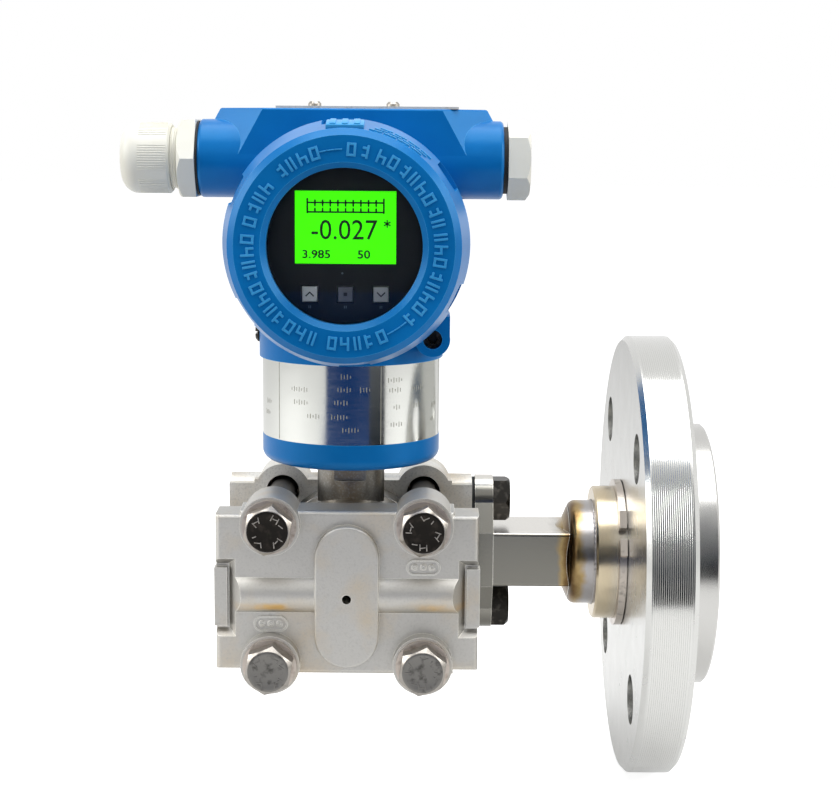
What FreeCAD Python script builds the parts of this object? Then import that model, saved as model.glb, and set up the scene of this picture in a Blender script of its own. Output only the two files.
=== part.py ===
import FreeCAD, Part
import math
import os
import re

import Sketcher

# Differential pressure transmitter with one flange-mounted diaphragm seal.
# Row frame: origin at the centre of the seal's sealing face, +X out of that face
# towards the vessel, +Z up, the display looks along -Y. All sizes are millimetres.

SIZES = {
    # loose backing flange, DN50 PN16
    "flange_od": 165.0, "flange_thick": 18.0, "flange_pcd": 125.0, "flange_hole": 18.0,
    "flange_holes": 4, "flange_chamfer": 1.7, "flange_bore_gap": 0.5, "flange_play": 0.35,
    # seal body: raised sealing disc and the hub that the flange turns on
    "seat_od": 98.5, "seat_thick": 12.0, "seat_chamfer": 0.8, "hub_od": 50.4, "hub_length": 41.5,
    "hub_chamfer": 0.7, "pocket_od": 61.0, "pocket_depth": 1.2, "fill_bore": 4.0,
    # wave diaphragm
    "foil_rim": 2.0, "foil_thick": 0.3, "foil_lift": 0.25, "foil_wave": 0.45,
    # retaining ring in the hub's groove
    "ring_od": 55.4, "ring_thick": 2.6, "ring_depth": 1.3, "ring_slit": 4.0, "ring_slit_angle": 27.0,
    "ring_ear_long": 6.5, "ring_ear_out": 1.0, "ring_ear_in": 2.4, "ring_fit": 0.05,
    # weld collar between hub and arm
    "collar_od": 39.3, "collar_length": 9.3, "collar_round": 3.0,
    # arm with the two-bolt oval plate
    "arm_high": 20.5, "arm_wide": 30.0, "arm_round": 1.2, "arm_flare": 4.5, "arm_flare_od": 35.0,
    "oval_thick": 6.8, "oval_bolt_gap": 41.0, "oval_end_od": 18.0, "oval_waist": 31.0,
    "oval_gasket": 1.2, "oval_gasket_inset": 0.8, "oval_hole": 11.0,
    # transmitter axis, measured from the sealing face
    "axis_back": 132.0, "side_gap": 0.75,
    # process flanges (two castings)
    "pf_wide": 91.0, "pf_high": 58.0, "pf_body": 14.0, "pf_boss_long": 19.0, "pf_boss_od": 20.6,
    "pf_round": 1.6, "pf_middle": 74.0, "pf_end_high": 55.0, "pf_bolt_x": 52.8, "pf_bolt_z": 48.9,
    "pf_bolt_hole": 12.4, "pf_recess_gap": 0.5, "pf_port": 5.0, "pf_drop": 0.8,
    "pf_pad_wide": 22.2, "pf_pad_high": 50.0, "pf_pad_out": 17.6, "pf_pad_round": 0.8,
    "pf_vent": 3.2, "pf_vent_drop": 1.4, "pf_rib_od": 15.0, "pf_rib_out": 17.2,
    "pf_scoop_x": 41.0, "pf_scoop_flare": 4.6, "pf_scoop_top": 9.6, "pf_scoop_low": 13.4,
    "pf_scoop_deep": 3.4,
    "pf_tab_in": 41.6, "pf_tab_out": 46.1, "pf_tab_top": 8.5, "pf_tab_low": 12.3, "pf_tab_sink": 1.2,
    "pf_badge_long": 11.8, "pf_badge_high": 5.6, "pf_badge_rim": 0.6, "pf_badge_out": 0.5,
    "pf_badge_x": 26.4, "pf_badge_z": 10.2, "rear_shift": 0.9,
    "end_boss_od": 18.6, "end_tap_deep": 14.5, "end_tap_spare": 2.0,
    # sensor cell and its neck
    "cell_od": 57.0, "cell_width": 40.0, "cell_groove": 1.2, "cell_face_od": 46.0, "cell_face_out": 2.2,
    "cell_edge": 0.8, "cell_ring_wire": 2.2, "cell_ring_inset": 2.6, "cell_seat": 24.0,
    "cell_seat_gap": 0.1, "neck_od": 24.2, "neck_thread_od": 26.6, "neck_thread_low": 44.0,
    "neck_top": 68.0, "neck_bore": 12.0, "neck_notch_wide": 13.4, "neck_notch_high": 8.0,
    "neck_notch_deep": 1.4,
    # M10 hardware
    "bolt_af": 15.2, "bolt_head": 6.5, "bolt_dia": 10.0, "bolt_fit": 0.15, "nut_high": 8.0,
    "bolt_past_nut": 3.0, "washer_od": 18.6, "washer_thick": 1.6, "bolt_spin": -9.5, "nut_spin": 12.0,
    # housing casting
    "cover_axis_z": 121.5, "barrel_od": 78.0, "barrel_front": 32.25, "barrel_back": 32.25,
    "chamber_od": 71.4, "front_chamber": 15.0, "wall_between": 4.0,
    "base_low": 42.0, "base_od": 63.5, "base_round": 3.4, "band_low": 51.3, "band_high": 27.7,
    "band_seat": 0.8, "band_thick": 0.7, "band_fit": 0.05, "upper_od": 65.6, "neck_gap": 0.35,
    "wire_room_od": 40.0, "wire_room_low": 70.0, "wire_room_high": 22.0,
    "crown_top": 166.0, "crown_half": 46.8, "crown_half_deep": 13.6, "crown_cut": 16.0,
    "crown_lean": 0.55, "crown_round": 0.8, "crown_shift": 0.7,
    "conduit_od": 27.4, "conduit_z": 148.4, "conduit_half": 53.3, "conduit_round": 1.4,
    "conduit_bore": 20.0, "conduit_inset": 15.0,
    "lug_x": 28.9, "lug_z": 88.3, "lug_od": 12.0, "lug_front": 32.0, "lug_long": 17.0, "lug_ear": 5.9,
    "lug_ear_high": 8.0, "lock_bore": 6.6, "lock_depth": 9.0, "lock_sink": 2.2, "earth_z": 86.9,
    "earth_pad_od": 9.0, "earth_sink": 0.5, "screw_fit": 0.1, "socket_deep": 2.5,
    # screwed covers
    "cover_gap": 0.35, "cover_od": 82.0, "cover_skirt": 12.5, "cover_long": 30.4, "cover_face_od": 71.4,
    "cover_edge": 2.2, "cover_front": 4.6, "window_od": 50.6, "window_bevel": 1.8,
    "notches": 6, "notch_angle": 15.0, "notch_deep": 1.3, "notch_start": 34.0, "notch_low": 2.0,
    "spigot_od": 70.4,
    "spigot_long": 9.0, "spigot_bore": 62.0, "rear_long": 24.0, "seal_wire": 2.2, "seal_room": 0.35,
    "glass_od": 58.0, "glass_thick": 5.0, "glass_fit": 0.1, "glass_ring_in": 54.0, "glass_ring_thick": 2.4,
    # display unit
    "bezel_gap": 0.5, "bezel_od": 58.5, "bezel_thick": 4.0, "bezel_rim": 0.6, "lcd_wide": 33.0,
    "lcd_high": 23.6, "lcd_rise": 5.7, "lcd_thick": 2.4, "lcd_fit": 0.15,
    "lcd_sink": 0.4, "key_size": 5.0, "key_pitch": 11.7, "key_drop": 16.1, "key_play": 0.3,
    "key_long": 5.0, "key_proud": 0.5, "key_edge": 0.25, "ledge_drop": 11.4,
    "ledge_deep": 0.3, "board_od": 56.0, "board_thick": 1.6, "board_gap": 2.0, "post_dia": 4.0,
    "post_ring": 25.0, "main_board_od": 60.0, "main_board_gap": 6.0,
    # terminal compartment
    "block_od": 64.0, "block_thick": 12.0, "block_top": 14.0, "terminals": 3, "terminal_pitch": 13.0,
    "terminal_dia": 6.4, "terminal_head": 2.6, "terminal_shank": 3.2, "terminal_deep": 8.0,
    "terminal_rib": 1.6, "terminal_rib_out": 4.0, "terminal_rib_long": 16.0,
    # cable gland and blanking plug
    "seal_ring": 0.8, "gland_ring_od": 26.0, "gland_hex": 26.8, "gland_body_long": 6.2,
    "gland_neck_od": 21.0, "gland_neck_long": 9.0, "gland_nut_gap": 2.8, "gland_nut_od": 24.8,
    "gland_nut_long": 17.7, "gland_nut_round": 5.7, "gland_mouth": 12.8, "gland_cable": 10.0,
    "gland_stub_long": 12.0, "gland_stub_od": 19.7, "gland_insert_od": 15.6, "gland_insert_long": 12.0,
    "gland_lip": 2.0, "gland_play": 0.35,
    "plug_ring_od": 23.4, "plug_ring": 1.6, "plug_hex": 24.2, "plug_spin": -5.4, "plug_long": 7.8,
    "plug_stub_long": 10.0,
    # name plate on the crown
    "plate_long": 63.3, "plate_wide": 22.0, "plate_thick": 0.8, "plate_shift": 5.0,
    "plate_screw_gap": 27.5, "plate_screw_head": 4.6, "plate_screw_high": 1.7, "plate_screw_dia": 2.5,
    "plate_screw_deep": 5.0,
    # small screws
    "earth_head": 6.9, "earth_head_thick": 1.9, "earth_dia": 4.0, "earth_deep": 6.0,
    "set_dia": 5.0, "set_long": 8.0, "set_z": 47.5,
}

doc = FreeCAD.newDocument("Transmitter")
sheet = doc.addObject("Spreadsheet::Sheet", "Sizes")
for row, (alias, number) in enumerate(SIZES.items(), start=1):
    sheet.set(f"A{row}", alias)
    sheet.set(f"B{row}", str(number))
    sheet.setAlias(f"B{row}", alias)
doc.recompute()

Vector = FreeCAD.Vector
TURNS = {
    "up": FreeCAD.Rotation(),
    "right": FreeCAD.Rotation(Vector(0, 1, 0), 90),
    "left": FreeCAD.Rotation(Vector(0, 1, 0), -90),
    "front": FreeCAD.Rotation(Vector(1, 0, 0), 90),
    "back": FreeCAD.Rotation(Vector(1, 0, 0), -90),
    "about": FreeCAD.Rotation(Vector(0, 0, 1), 180),
}
NODES = []

# Places that several pieces share, written once as formulas of the sheet.
AXIS_X = "-axis_back"
FLANGE_RIGHT = "-seat_thick - flange_play"
FLANGE_LEFT = "-seat_thick - flange_play - flange_thick"
RING_RIGHT = "-seat_thick - 2 * flange_play - flange_thick"
RING_LEFT = "-seat_thick - 2 * flange_play - flange_thick - ring_thick"
HUB_LEFT = "-hub_length"
COLLAR_LEFT = "-hub_length - collar_length"
REAR_END_X = "pf_wide / 2 - rear_shift - axis_back"
OVAL_LEFT = REAR_END_X + " + oval_gasket"
OVAL_RIGHT = REAR_END_X + " + oval_gasket + oval_thick"
REAR_FACE_Y = "-pf_boss_long / 2"
AXIS_Y = "-pf_boss_long / 2 - side_gap - cell_width / 2"
FRONT_FACE_Y = "-pf_boss_long / 2 - 2 * side_gap - cell_width"
FRONT_BOSS_Y = "-3 * pf_boss_long / 2 - 2 * side_gap - cell_width"
COVER_FRONT_Y = AXIS_Y + " - barrel_front - cover_gap"
COVER_BACK_Y = AXIS_Y + " + barrel_back + cover_gap"
BEZEL_FRONT = "cover_long - cover_front - glass_thick - glass_ring_thick - 2 * glass_fit - bezel_gap"
BEZEL_BACK = BEZEL_FRONT + " - bezel_thick"


def formula(text):
    """Turns a formula of plain size names into one that names the sheet's cells."""
    return re.sub(r"[a-z][a-z_0-9]*", lambda word: _cell(word.group(0)), text)


def _cell(word):
    return f"Sizes.{word}" if word in SIZES else word


def amount(text):
    """The number that a formula of size names has now."""
    number = sheet.evalExpression(formula(text))
    return float(getattr(number, "Value", number))


def bind(thing, path, text):
    """Binds a property to a formula, or sets it where the formula is a bare number."""
    thing.setExpression(path, formula(text))


def place(thing, at, turn="up"):
    """Turns a piece and binds the three parts of its place."""
    thing.Placement = FreeCAD.Placement(Vector(*(amount(text) for text in at)), TURNS[turn])
    for axis, text in zip("xyz", at):
        if text != "0":
            bind(thing, f"Placement.Base.{axis}", text)


def keep(thing, label):
    """Names a finished piece as one that is written out."""
    thing.Label = label
    NODES.append(thing)
    return thing


def new_body(label, at=("0", "0", "0"), turn="up", kept=True):
    body = doc.addObject("PartDesign::Body", label)
    place(body, at, turn)
    if kept:
        keep(body, label)
    return body


def sketch_in(body, role, lift="0"):
    """A sketch on one of the body's origin planes, lifted along the plane's normal."""
    sketch = body.newObject("Sketcher::SketchObject", "Outline")
    plane = [item for item in body.Origin.OriginFeatures if item.Role == role][0]
    sketch.AttachmentSupport = [(plane, "")]
    sketch.MapMode = "FlatFace"
    if lift != "0":
        bind(sketch, "AttachmentOffset.Base.z", lift)
    return sketch


def pin_point(sketch, edge, end, across, up):
    """Fixes one end of an edge by two bound distances from the origin."""
    for kind, text in (("DistanceX", across), ("DistanceY", up)):
        datum = amount(text)
        place_in_list = sketch.addConstraint(Sketcher.Constraint(kind, -1, 1, edge, end, datum))
        if text != "0":
            bind(sketch, f"Constraints[{place_in_list}]", text)


def outline(sketch, corners):
    """A closed outline of straight lines through corners given as pairs of formulas."""
    spots = [Vector(amount(across), amount(up), 0) for across, up in corners]
    count = len(spots)
    first = sketch.GeometryCount
    for here in range(count):
        sketch.addGeometry(Part.LineSegment(spots[here], spots[(here + 1) % count]), False)
    for here in range(count):
        after = first + (here + 1) % count
        sketch.addConstraint(Sketcher.Constraint("Coincident", first + here, 2, after, 1))
    for here, (across, up) in enumerate(corners):
        pin_point(sketch, first + here, 1, across, up)
    return sketch


def rectangle(sketch, left, right, low, high):
    return outline(sketch, [(left, low), (right, low), (right, high), (left, high)])


def circle(sketch, across, up, radius):
    ring = Part.Circle(Vector(amount(across), amount(up), 0), Vector(0, 0, 1), amount(radius))
    edge = sketch.addGeometry(ring, False)
    size = sketch.addConstraint(Sketcher.Constraint("Radius", edge, amount(radius)))
    bind(sketch, f"Constraints[{size}]", radius)
    pin_point(sketch, edge, 3, across, up)
    return sketch


def pad(body, sketch, length, midplane=False, reverse=False, cut=False):
    """Extrudes a sketch: solid, or a cut when asked. A pocket goes against the normal."""
    kind = "PartDesign::Pocket" if cut else "PartDesign::Pad"
    feature = body.newObject(kind, "Cut" if cut else "Solid")
    feature.Profile = sketch
    if hasattr(feature, "SideType") and midplane:
        feature.SideType = "Symmetric"
    elif midplane:
        feature.Midplane = True
    feature.Reversed = reverse
    if length == "through":
        feature.Type = "ThroughAll"
    else:
        bind(feature, "Length", length)
    body.Tip = feature
    return feature


def spin(body, sketch, angle="360", cut=False, axis="V_Axis"):
    """Revolves a sketch about its upright axis: solid, or a groove when asked."""
    kind = "PartDesign::Groove" if cut else "PartDesign::Revolution"
    feature = body.newObject(kind, "Groove" if cut else "Turned")
    feature.Profile = sketch
    feature.ReferenceAxis = (sketch, [axis])
    if angle == "360":
        feature.Angle = 360.0
    else:
        bind(feature, "Angle", angle)
    body.Tip = feature
    return feature


def around(body, feature, copies, angle="360", role="Z_Axis"):
    """Repeats a feature round one of the body's axes."""
    axis = [item for item in body.Origin.OriginFeatures if item.Role == role][0]
    ring = body.newObject("PartDesign::PolarPattern", "Ring")
    ring.Originals = [feature]
    ring.Axis = (axis, [""])
    if angle == "360":
        ring.Angle = 360.0
    else:
        bind(ring, "Angle", angle)
    bind(ring, "Occurrences", copies)
    body.Tip = ring
    return ring


def soften(body, radius, chosen, chamfer=False):
    """Rounds or chamfers the edges that the test picks on the body's present shape."""
    doc.recompute()
    base = body.Tip
    names = [f"Edge{place_in_list}" for place_in_list, edge in enumerate(base.Shape.Edges, start=1)
             if chosen(edge)]
    if not names:
        raise ValueError(f"{body.Label} has no edge to soften")
    kind = "PartDesign::Chamfer" if chamfer else "PartDesign::Fillet"
    feature = body.newObject(kind, "Edge")
    feature.Base = (base, names)
    bind(feature, "Size" if chamfer else "Radius", radius)
    body.Tip = feature
    return feature


def near(first, second, slack=0.02):
    return abs(first - second) < slack


def flat_at(edge, axis, level):
    """True where an edge lies wholly at one level of an axis."""
    box = edge.BoundBox
    low, high = {"x": (box.XMin, box.XMax), "y": (box.YMin, box.YMax), "z": (box.ZMin, box.ZMax)}[axis]
    return near(low, level) and near(high, level)


def turned(label, profile, at=("0", "0", "0"), turn="up", kept=True):
    """A turned piece: its profile is (radius, height along its own axis)."""
    body = new_body(label, at, turn, kept)
    sketch = outline(sketch_in(body, "XZ_Plane"), profile)
    spin(body, sketch)
    return body


def group(label, pieces):
    """Like pieces that share a node as separate solids."""
    bunch = doc.addObject("Part::Compound", label)
    bunch.Links = pieces
    return keep(bunch, label)


def hexagon(sketch, across_flats, angle=0.0):
    """Six equal sides about the origin, sized across the flats."""
    corners = []
    for side in range(6):
        turn = math.radians(60 * side + angle)
        corners.append((f"{across_flats} / 2 / {math.cos(math.pi / 6):.9f} * {math.cos(turn):.9f}",
                        f"{across_flats} / 2 / {math.cos(math.pi / 6):.9f} * {math.sin(turn):.9f}"))
    return outline(sketch, corners)


def hex_bolt(label, at, turn, shank, angle=0.0):
    """Hexagon bolt: the head sits on the local XY plane and the shank runs down from it."""
    body = new_body(label, at, turn, kept=False)
    pad(body, hexagon(sketch_in(body, "XY_Plane"), "bolt_af", angle), "bolt_head")
    corner = sketch_in(body, "XZ_Plane")
    outline(corner, [("bolt_af / 2 * 0.95", "bolt_head"), ("bolt_af * 0.62", "bolt_head"),
                     ("bolt_af * 0.62", "bolt_head - bolt_af * 0.155")])
    spin(body, corner, cut=True)
    stem = circle(sketch_in(body, "XY_Plane"), "0", "0", "bolt_dia / 2")
    pad(body, stem, shank, reverse=True)
    return body


def hex_nut(label, at, turn, angle=0.0):
    body = new_body(label, at, turn, kept=False)
    pad(body, hexagon(sketch_in(body, "XY_Plane"), "bolt_af", angle), "nut_high")
    for level, step in (("nut_high", "-"), ("0", "+")):
        corner = sketch_in(body, "XZ_Plane")
        outline(corner, [("bolt_af / 2 * 0.95", level), ("bolt_af * 0.62", level),
                         ("bolt_af * 0.62", f"{level} {step} bolt_af * 0.155")])
        spin(body, corner, cut=True)
    hole = circle(sketch_in(body, "XY_Plane"), "0", "0", "bolt_dia / 2 + bolt_fit")
    pad(body, hole, "through", cut=True, reverse=True)
    return body


# ---------------------------------------------------------------- seal at the vessel side

def make_seal_body():
    """Raised disc and hub in one turned piece, with the pocket for the wave diaphragm."""
    hub = "hub_od / 2"
    groove = "hub_od / 2 - ring_depth"
    turned("seal_body", [
        ("fill_bore / 2", HUB_LEFT), (f"{hub} - hub_chamfer", HUB_LEFT),
        (hub, f"{HUB_LEFT} + hub_chamfer"), (hub, RING_LEFT + " - ring_fit"),
        (groove, RING_LEFT + " - ring_fit"), (groove, RING_RIGHT + " + ring_fit"),
        (hub, RING_RIGHT + " + ring_fit"), (hub, "-seat_thick"),
        ("seat_od / 2 - seat_chamfer", "-seat_thick"), ("seat_od / 2", "seat_chamfer - seat_thick"),
        ("seat_od / 2", "-seat_chamfer"), ("seat_od / 2 - seat_chamfer", "0"),
        ("pocket_od / 2", "0"), ("pocket_od / 2", "-pocket_depth"), ("fill_bore / 2", "-pocket_depth"),
    ], turn="right")


def make_diaphragm():
    """Thin foil with concentric waves, its flat rim seated in the pocket's floor."""
    waves = 4
    rim = "(pocket_od / 2 - foil_rim - 0.1)"
    lower = [("0", "foil_lift - pocket_depth")]
    for crest in range(1, 2 * waves):
        lift = " + foil_wave" if crest % 2 else ""
        lower.append((f"{rim} * {crest} / {2 * waves}", f"foil_lift - pocket_depth{lift}"))
    lower += [(rim, "-pocket_depth"), ("pocket_od / 2 - 0.1", "-pocket_depth")]
    upper = [(across, f"{up} + foil_thick") for across, up in reversed(lower)]
    turned("diaphragm", lower + upper, turn="right")


def make_backing_flange():
    """Loose flange that turns on the hub, with four plain bolt holes."""
    bore, rim = "hub_od / 2 + flange_bore_gap", "flange_od / 2"
    body = turned("backing_flange", [
        (bore, FLANGE_LEFT), (f"{rim} - flange_chamfer", FLANGE_LEFT),
        (rim, f"{FLANGE_LEFT} + flange_chamfer"), (rim, f"{FLANGE_RIGHT} - flange_chamfer"),
        (f"{rim} - flange_chamfer", FLANGE_RIGHT), (bore, FLANGE_RIGHT),
    ], turn="right")
    half = f"{math.sqrt(0.5):.9f} * flange_pcd / 2"
    hole = pad(body, circle(sketch_in(body, "XY_Plane"), half, half, "flange_hole / 2"),
               "through", cut=True)
    around(body, hole, "flange_holes")


def make_retaining_ring():
    """Split ring in the hub's groove, with two ears beside the slit."""
    body = new_body("retaining_ring", (RING_LEFT, "0", "0"), "right")
    sketch = sketch_in(body, "XY_Plane")
    circle(sketch, "0", "0", "ring_od / 2")
    circle(sketch, "0", "0", "hub_od / 2 - ring_depth + ring_fit")
    pad(body, sketch, "ring_thick")
    ears = rectangle(sketch_in(body, "XY_Plane"), "-ring_slit / 2 - ring_ear_long",
                     "ring_slit / 2 + ring_ear_long", "ring_od / 2 - ring_ear_in",
                     "ring_od / 2 + ring_ear_out")
    pad(body, ears, "ring_thick")
    slit = rectangle(sketch_in(body, "XY_Plane"), "-ring_slit / 2", "ring_slit / 2", "0", "ring_od")
    pad(body, slit, "through", cut=True, reverse=True)
    to_display = FreeCAD.Rotation(Vector(0, 0, 1), 180 - SIZES["ring_slit_angle"])
    body.Placement.Rotation = TURNS["right"] * to_display


def make_weld_collar():
    body = turned("weld_collar", [
        ("fill_bore / 2", COLLAR_LEFT), ("collar_od / 2", COLLAR_LEFT),
        ("collar_od / 2", HUB_LEFT), ("fill_bore / 2", HUB_LEFT)], turn="right")
    rim = amount("collar_od / 2")
    soften(body, "collar_round", lambda edge: isinstance(edge.Curve, Part.Circle)
           and near(edge.Curve.Radius, rim) and flat_at(edge, "z", amount(COLLAR_LEFT)))


def oval_plate(body, thick, inset="0"):
    """Oval of a two-bolt flange: two round ends and a wider waist."""
    for sign in ("", "-"):
        end = circle(sketch_in(body, "YZ_Plane"), "0", f"{sign}oval_bolt_gap / 2",
                     f"oval_end_od / 2 - {inset}")
        pad(body, end, thick)
    end_y, waist_y = f"(oval_end_od / 2 - {inset})", f"(oval_waist / 2 - {inset})"
    waist = outline(sketch_in(body, "YZ_Plane"), [
        (f"-{end_y}", "-oval_bolt_gap / 2"), (end_y, "-oval_bolt_gap / 2"),
        (waist_y, "-arm_high / 2"), (waist_y, "arm_high / 2"),
        (end_y, "oval_bolt_gap / 2"), (f"-{end_y}", "oval_bolt_gap / 2"),
        (f"-{waist_y}", "arm_high / 2"), (f"-{waist_y}", "-arm_high / 2")])
    pad(body, waist, thick)


def drill_oval(body, thick):
    for sign in ("", "-"):
        hole = circle(sketch_in(body, "YZ_Plane", thick), "0", f"{sign}oval_bolt_gap / 2",
                      "oval_hole / 2")
        pad(body, hole, thick, cut=True)


def make_arm():
    """Oval plate, rectangular arm and the flare into the weld collar, one casting."""
    body = new_body("seal_arm", (OVAL_LEFT, "0", "0"))
    reach = f"({COLLAR_LEFT} - ({OVAL_LEFT}))"
    bar = rectangle(sketch_in(body, "YZ_Plane"), "-arm_wide / 2", "arm_wide / 2",
                    "-arm_high / 2", "arm_high / 2")
    pad(body, bar, reach)
    side, middle = amount("arm_wide / 2"), amount(reach) / 2
    soften(body, "arm_round", lambda edge: near(abs(edge.CenterOfMass.y), side)
           and near(edge.CenterOfMass.x, middle))
    oval_plate(body, "oval_thick")
    flare = outline(sketch_in(body, "XY_Plane"), [
        (f"{reach} - arm_flare", "0"), (reach, "0"), (reach, "arm_flare_od / 2"),
        (f"{reach} - arm_flare * 0.45", "arm_high / 2 + 2.6"),
        (f"{reach} - arm_flare", "arm_high / 2 + 0.1")])
    spin(body, flare, axis="H_Axis")
    drill_oval(body, "oval_thick")
    bore = circle(sketch_in(body, "YZ_Plane", reach), "0", "0", "fill_bore / 2")
    pad(body, bore, "through", cut=True)


def make_arm_gasket():
    body = new_body("arm_gasket", (REAR_END_X, "0", "0"))
    oval_plate(body, "oval_gasket", "oval_gasket_inset")
    drill_oval(body, "oval_gasket")
    window = circle(sketch_in(body, "YZ_Plane", "oval_gasket"), "0", "0", "fill_bore")
    pad(body, window, "oval_gasket", cut=True)


def make_arm_bolts():
    """Two M10 bolts that hold the oval plate on the rear process flange."""
    bolts = []
    for name, sign in (("upper", ""), ("lower", "-")):
        at = (OVAL_RIGHT, "0", f"{sign}oval_bolt_gap / 2")
        bolts.append(hex_bolt(f"arm_bolt_{name}", at, "right",
                              "oval_thick + oval_gasket + end_tap_deep - end_tap_spare", 30.0))
    group("arm_bolts", bolts)


# ---------------------------------------------------------------- measuring unit

def start_process_flange(label, at, turn, shift="0"):
    """What both castings share: slab with lower ends and four bolt barrels.

    The casting is drawn with its cell side on the local XZ plane and grows along -Y."""
    body = new_body(label, at, turn)
    for wide, high, move in (("pf_wide", "pf_end_high", shift), ("pf_middle", "pf_high", "0")):
        slab = rectangle(sketch_in(body, "XZ_Plane"), f"{move} - {wide} / 2", f"{move} + {wide} / 2",
                         f"-{high} / 2", f"{high} / 2")
        pad(body, slab, "pf_body")
    front = amount("-pf_body")
    soften(body, "pf_round", lambda edge: flat_at(edge, "y", front))
    for side in ("", "-"):
        for level in ("", "-"):
            barrel = circle(sketch_in(body, "XZ_Plane"), f"{side}pf_bolt_x / 2",
                            f"{level}pf_bolt_z / 2", "pf_boss_od / 2")
            pad(body, barrel, "pf_boss_long")
    return body


def drill_process_flange(body):
    """Bolt holes, the recess that takes the cell's face and the passage to it."""
    for side in ("", "-"):
        for level in ("", "-"):
            hole = circle(sketch_in(body, "XZ_Plane"), f"{side}pf_bolt_x / 2",
                          f"{level}pf_bolt_z / 2", "pf_bolt_hole / 2")
            pad(body, hole, "through", cut=True, reverse=True)
    recess = circle(sketch_in(body, "XZ_Plane"), "0", "0", "cell_face_od / 2 + pf_recess_gap")
    pad(body, recess, "cell_face_out - side_gap", cut=True, reverse=True)


def slot_pad(body, wide, high, out, drop="0"):
    """An upright pad with round ends, made of a middle and two discs."""
    level = f"({high} / 2 - {wide} / 2)"
    middle = rectangle(sketch_in(body, "XZ_Plane"), f"-{wide} / 2", f"{wide} / 2",
                       f"-{level} - {drop}", f"{level} - {drop}")
    pad(body, middle, out)
    for sign in ("", "-"):
        disc = circle(sketch_in(body, "XZ_Plane"), "0", f"{sign}{level} - {drop}", f"{wide} / 2")
        pad(body, disc, out)


def scoop(body, sign):
    """A flared hollow across the rib's end, with the square tab standing in it."""
    sections = []
    for lift, flare in (("pf_rib_out + 0.2", "pf_scoop_flare"), ("pf_body - pf_scoop_deep", "0")):
        inner, outer = f"(pf_scoop_x - {flare})", "(pf_wide / 2 + 2)"
        left, right = (inner, outer) if sign > 0 else (f"-{outer}", f"-{inner}")
        sections.append(rectangle(sketch_in(body, "XZ_Plane", lift), left, right,
                                  f"-pf_scoop_low - {flare}", f"pf_scoop_top + {flare}"))
    cut = body.newObject("PartDesign::SubtractiveLoft", "Scoop")
    cut.Profile = sections[0]
    cut.Sections = [sections[1]]
    cut.Ruled = True
    body.Tip = cut
    left, right = ("pf_tab_in", "pf_tab_out") if sign > 0 else ("-pf_tab_out", "-pf_tab_in")
    tab = rectangle(sketch_in(body, "XZ_Plane", "pf_body / 2"), left, right, "-pf_tab_low", "pf_tab_top")
    pad(body, tab, "pf_body / 2 - pf_tab_sink")


def make_front_process_flange():
    """Front casting: upright pad with a vent drilling, cross rib, end scoops and two ovals."""
    body = start_process_flange("front_process_flange", (AXIS_X, FRONT_FACE_Y, "0"), "up")
    rib = sketch_in(body, "YZ_Plane")
    circle(rib, "pf_rib_od / 2 - pf_rib_out", "-pf_drop", "pf_rib_od / 2")
    pad(body, rib, "pf_wide", midplane=True)
    for sign in (1, -1):
        scoop(body, sign)
    slot_pad(body, "pf_pad_wide", "pf_pad_high", "pf_pad_out", "pf_drop")
    front = amount("-pf_pad_out")
    soften(body, "pf_pad_round", lambda edge: flat_at(edge, "y", front))
    for sign in (1, -1):
        badge_rim(body, sign)
    drill_process_flange(body)
    vent = circle(sketch_in(body, "XZ_Plane"), "0", "-pf_vent_drop", "pf_vent / 2")
    pad(body, vent, "through", cut=True, reverse=True)


def badge_rim(body, sign):
    """A raised oval line on the casting's face, beside a bolt barrel."""
    text = "" if sign > 0 else "-"
    middle_x, middle_z = f"{text}pf_badge_x", f"({text}pf_badge_z - pf_drop)"
    half = "(pf_badge_long / 2 - pf_badge_high / 2)"
    sketch = sketch_in(body, "XZ_Plane", "pf_body")
    for inset in ("0", "pf_badge_rim"):
        radius = amount(f"pf_badge_high / 2 - {inset}")
        start = sketch.GeometryCount
        corners = []
        for side, level in ((1, -1), (1, 1), (-1, 1), (-1, -1)):
            corners.append((f"{middle_x} + {side} * {half}",
                            f"{middle_z} + {level} * (pf_badge_high / 2 - {inset})"))
        spots = [Vector(amount(across), amount(up), 0) for across, up in corners]
        right = Vector(amount(f"{middle_x} + {half}"), amount(middle_z), 0)
        left = Vector(amount(f"{middle_x} - {half}"), amount(middle_z), 0)
        sketch.addGeometry(Part.Arc(spots[0], right + Vector(radius, 0, 0), spots[1]), False)
        sketch.addGeometry(Part.LineSegment(spots[1], spots[2]), False)
        sketch.addGeometry(Part.Arc(spots[2], left - Vector(radius, 0, 0), spots[3]), False)
        sketch.addGeometry(Part.LineSegment(spots[3], spots[0]), False)
        for step in range(4):
            sketch.addConstraint(Sketcher.Constraint("Block", start + step))
    pad(body, sketch, "pf_badge_out")


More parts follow.
